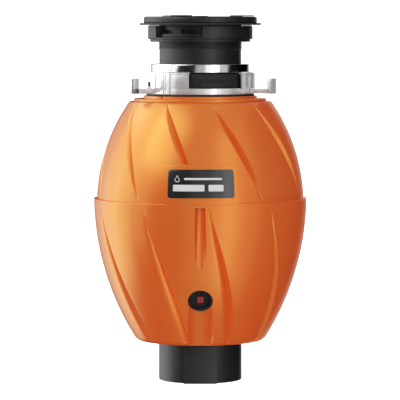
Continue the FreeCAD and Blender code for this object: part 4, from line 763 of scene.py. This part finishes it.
def cushion_sleeve():
    outline = rounded([(43.2, 286.7), (48.5, 286.7), (48.5, 300.0), (47.4, 300.6), (47.4, 307.3),
                       (41.1, 307.3), (41.1, 302.9), (38.3, 302.9), (38.3, 299.2), (45.5, 299.2),
                       (45.5, 296.4), (43.2, 296.4)],
                      [0.4, 0.8, 0.5, 0.5, 0.8, 0.4, 0.2, 0.4, 0.4, 0.2, 0.2, 0.2])
    lugs = [arc_block(47.8, 52.3, (293.3, 298.1), (0.6 + r, 28.9 + r), 0.6) for r in THREE_TURNS]
    sleeve = [revolve(outline, segments=144)] + lugs
    place(new_mesh("cushion_sleeve", sleeve), "housing", RUBBER, ["cushion_mount"])


def stopper_parts():
    outline = [(0.0, 350.0), (36.0, 350.0), (36.0, 352.0), (34.0, 352.0), (34.0, 355.0), (36.0, 355.0),
               (36.6, 357.6), (42.4, 360.0), (42.4, 361.5), (30.0, 361.5), (28.0, 358.5), (9.0, 358.5),
               (8.0, 361.0), (8.0, 364.2), (0.0, 364.2)]
    body = revolve(rounded(outline, [0, 0.6, 0.4, 0.2, 0.2, 0.3, 0.5, 0.4, 0.5, 0.8, 1.2, 1.2, 0.6, 1.2, 0]),
                   segments=120)
    tab_outline = rounded([(29.0, 361.1), (42.3, 361.1), (42.3, 363.85), (53.0, 363.85), (54.8, 364.1),
                           (53.0, 364.75), (31.0, 364.75)], [0.3, 0.3, 0.3, 0.4, 0.3, 1.4, 1.0])
    tabs = [bevelled(revolve(tab_outline, (turn - 9.0, turn + 9.0), 10), 0.5, 2, 60.0)
            for turn in (-23.6, 96.4, 216.4)]
    place(new_mesh("sink_stopper", [body] + tabs), "stopper", BLACK, ["throat_stopper"])


def other_nodes():
    """CAD nodes that keep their own mesh get the material of the slot that the record gives them."""
    by_node = {}
    for part in frame["record"].get("subparts", []):
        by_node[part.get("node") or part.get("name")] = part.get("material_slot") or part.get("material")
    for name, obj in frame["nodes"].items():
        obj.data.materials.clear()
        obj.data.materials.append(SLOT_MATERIAL.get(by_node.get(name), BLACK))
        shade_only(obj)


def shade_only(obj):
    if not obj.hide_render:
        obj.data.set_sharp_from_angle(angle=math.radians(35.0))


lower_skin()
upper_skin()
label_panel()
label_parts()
base_cup()
shell_screw_heads()
cord_inlet_collar()
terminal_cover()
base_screw_heads()
reset_parts()
outlet_pipe()
rinse_inlet_pipe()
rinse_inlet_grommet()
rim_parts()
nut_parts()
chrome_band()
ring_wall_parts()
ring_ears()
neck_seal()
cushion_sleeve()
stopper_parts()
other_nodes()


# ---------------------------------------------------------------- studio
# Metres from here on: name, azimuth, elevation, distance, width, height, lean, radiance.
# REFLECTED panels show only in reflections, and FILLS give only diffuse light.
REFLECTED = [
    ("left_front", -87.0, 14.0, 1.5, 0.80, 2.9, -18.0, 2.25),
    ("left_middle", -114.0, 8.0, 1.5, 0.74, 2.9, -12.0, 2.15),
    ("left_back", -141.0, 5.0, 1.5, 0.80, 2.6, 0.0, 1.10),
    ("left_upper", -50.0, 40.0, 1.6, 1.00, 1.20, -10.0, 2.70),
    ("left_lip", -63.0, 5.0, 1.6, 0.45, 1.60, -16.0, 1.20),
    ("left_crest", -128.0, 44.0, 1.6, 1.10, 0.80, 0.0, 1.90),
    ("key_left", 4.0, 0.0, 1.7, 0.90, 3.0, -6.0, 0.45),
    ("key_soft", 22.0, 0.0, 1.65, 0.60, 3.2, -6.0, 0.70),
    ("key", 34.0, 0.0, 1.6, 0.62, 3.2, -6.0, 1.62),
    ("key_right", 57.0, 0.0, 1.6, 0.55, 3.2, -6.0, 0.60),
    ("rear", 164.0, 0.0, 1.6, 0.80, 2.6, 0.0, 0.75),
    ("high_front", 0.0, 62.0, 1.5, 1.4, 0.9, 0.0, 0.50),
    ("high_right", 90.0, 62.0, 1.5, 1.4, 0.9, 0.0, 0.45)]
FILLS = [
    ("fill_left", -90.0, 20.0, 1.6, 1.6, 2.2, 0.0, 0.42),
    ("fill_front", -10.0, 15.0, 1.6, 1.2, 1.6, 0.0, 0.90),
    ("fill_right", 90.0, 20.0, 1.6, 1.6, 2.2, 0.0, 0.70),
    ("fill_top", 0.0, 85.0, 1.6, 1.6, 1.6, 0.0, 0.60),
    ("fill_low", 0.0, -60.0, 1.6, 1.6, 1.6, 0.0, 1.00)]
STUDIO_CENTRE = Vector((0, 0, 0.18))
WORLD_COLOUR = (0.96, 0.98, 1.0, 1.0)
WORLD_STRENGTH = 0.42
STAGE_COLOUR = (0.9, 0.9, 0.9, 1.0)
STAGE_ROUGHNESS = 0.9
STAGE_GLOW = 1.1
FLOOR_RADIUS = 12.0
BACKDROP_RADIUS = 14.0
CAMERA_PLACE = Vector((0.0, -2.75, 0.355))
CAMERA_TARGET = Vector((-0.0003, 0.0, 0.180))
CAMERA_SENSOR = 36.0
CAMERA_LENS = 247.5
CAMERA_RANGE = (0.1, 60.0)


def studio_panel(name, azimuth, elevation, distance, width, height, lean, radiance, fill):
    """Flat soft light facing the object; azimuth 0 is at the camera, positive towards +X."""
    turn, rise = math.radians(azimuth), math.radians(elevation)
    outward = Vector((math.sin(turn) * math.cos(rise), -math.cos(turn) * math.cos(rise), math.sin(rise)))
    across = Matrix.Rotation(math.radians(lean), 3, outward) @ Vector((math.cos(turn), math.sin(turn), 0))
    light = bpy.data.lights.new(name, "AREA")
    light.shape = "RECTANGLE"
    light.size, light.size_y = width, height
    light.energy = radiance * math.pi * width * height
    lamp = bpy.data.objects.new(name, light)
    axes = Matrix((across, outward.cross(across), outward)).transposed().to_4x4()
    lamp.matrix_world = Matrix.Translation(STUDIO_CENTRE + outward * distance) @ axes
    bpy.context.scene.collection.objects.link(lamp)
    lamp.visible_camera = False
    lamp.visible_glossy = not fill
    lamp.visible_diffuse = fill
    lamp.visible_transmission = False


for row in REFLECTED:
    studio_panel(*row, fill=False)
for row in FILLS:
    studio_panel(*row, fill=True)

world = bpy.data.worlds.new("studio")
world.use_nodes = True
world.node_tree.nodes["Background"].inputs["Color"].default_value = WORLD_COLOUR
world.node_tree.nodes["Background"].inputs["Strength"].default_value = WORLD_STRENGTH
world.cycles_visibility.glossy = False
bpy.context.scene.world = world


def stage_material(name):
    material, _, _, shader = tree_of(name)
    shader.inputs["Base Color"].default_value = STAGE_COLOUR
    shader.inputs["Roughness"].default_value = STAGE_ROUGHNESS
    shader.inputs["Emission Color"].default_value = (1.0, 1.0, 1.0, 1.0)
    shader.inputs["Emission Strength"].default_value = STAGE_GLOW
    return material


def stage_object(name, mesh):
    data = bpy.data.meshes.new(name)
    mesh.to_mesh(data)
    mesh.free()
    data.materials.append(stage_material(name))
    obj = bpy.data.objects.new(name, data)
    bpy.context.scene.collection.objects.link(obj)
    return obj


def stage_disc():
    mesh = bmesh.new()
    bmesh.ops.create_circle(mesh, cap_ends=True, segments=96, radius=FLOOR_RADIUS)
    return stage_object("floor", mesh)


def stage_dome():
    mesh = bmesh.new()
    bmesh.ops.create_uvsphere(mesh, u_segments=48, v_segments=24, radius=BACKDROP_RADIUS)
    return stage_object("backdrop", mesh)


floor = stage_disc()
backdrop = stage_dome()
for piece in (floor, backdrop):
    piece.visible_diffuse = False
    piece.visible_glossy = False
    piece.visible_transmission = False
    piece.visible_shadow = False

camera_data = bpy.data.cameras.new("camera")
camera_data.sensor_width = CAMERA_SENSOR
camera_data.lens = CAMERA_LENS
camera_data.clip_start, camera_data.clip_end = CAMERA_RANGE
camera = bpy.data.objects.new("camera", camera_data)
bpy.context.scene.collection.objects.link(camera)
camera.location = CAMERA_PLACE
camera.rotation_euler = (CAMERA_TARGET - CAMERA_PLACE).to_track_quat("-Z", "Y").to_euler()
bpy.context.scene.camera = camera
bpy.context.scene.view_settings.view_transform = "Standard"
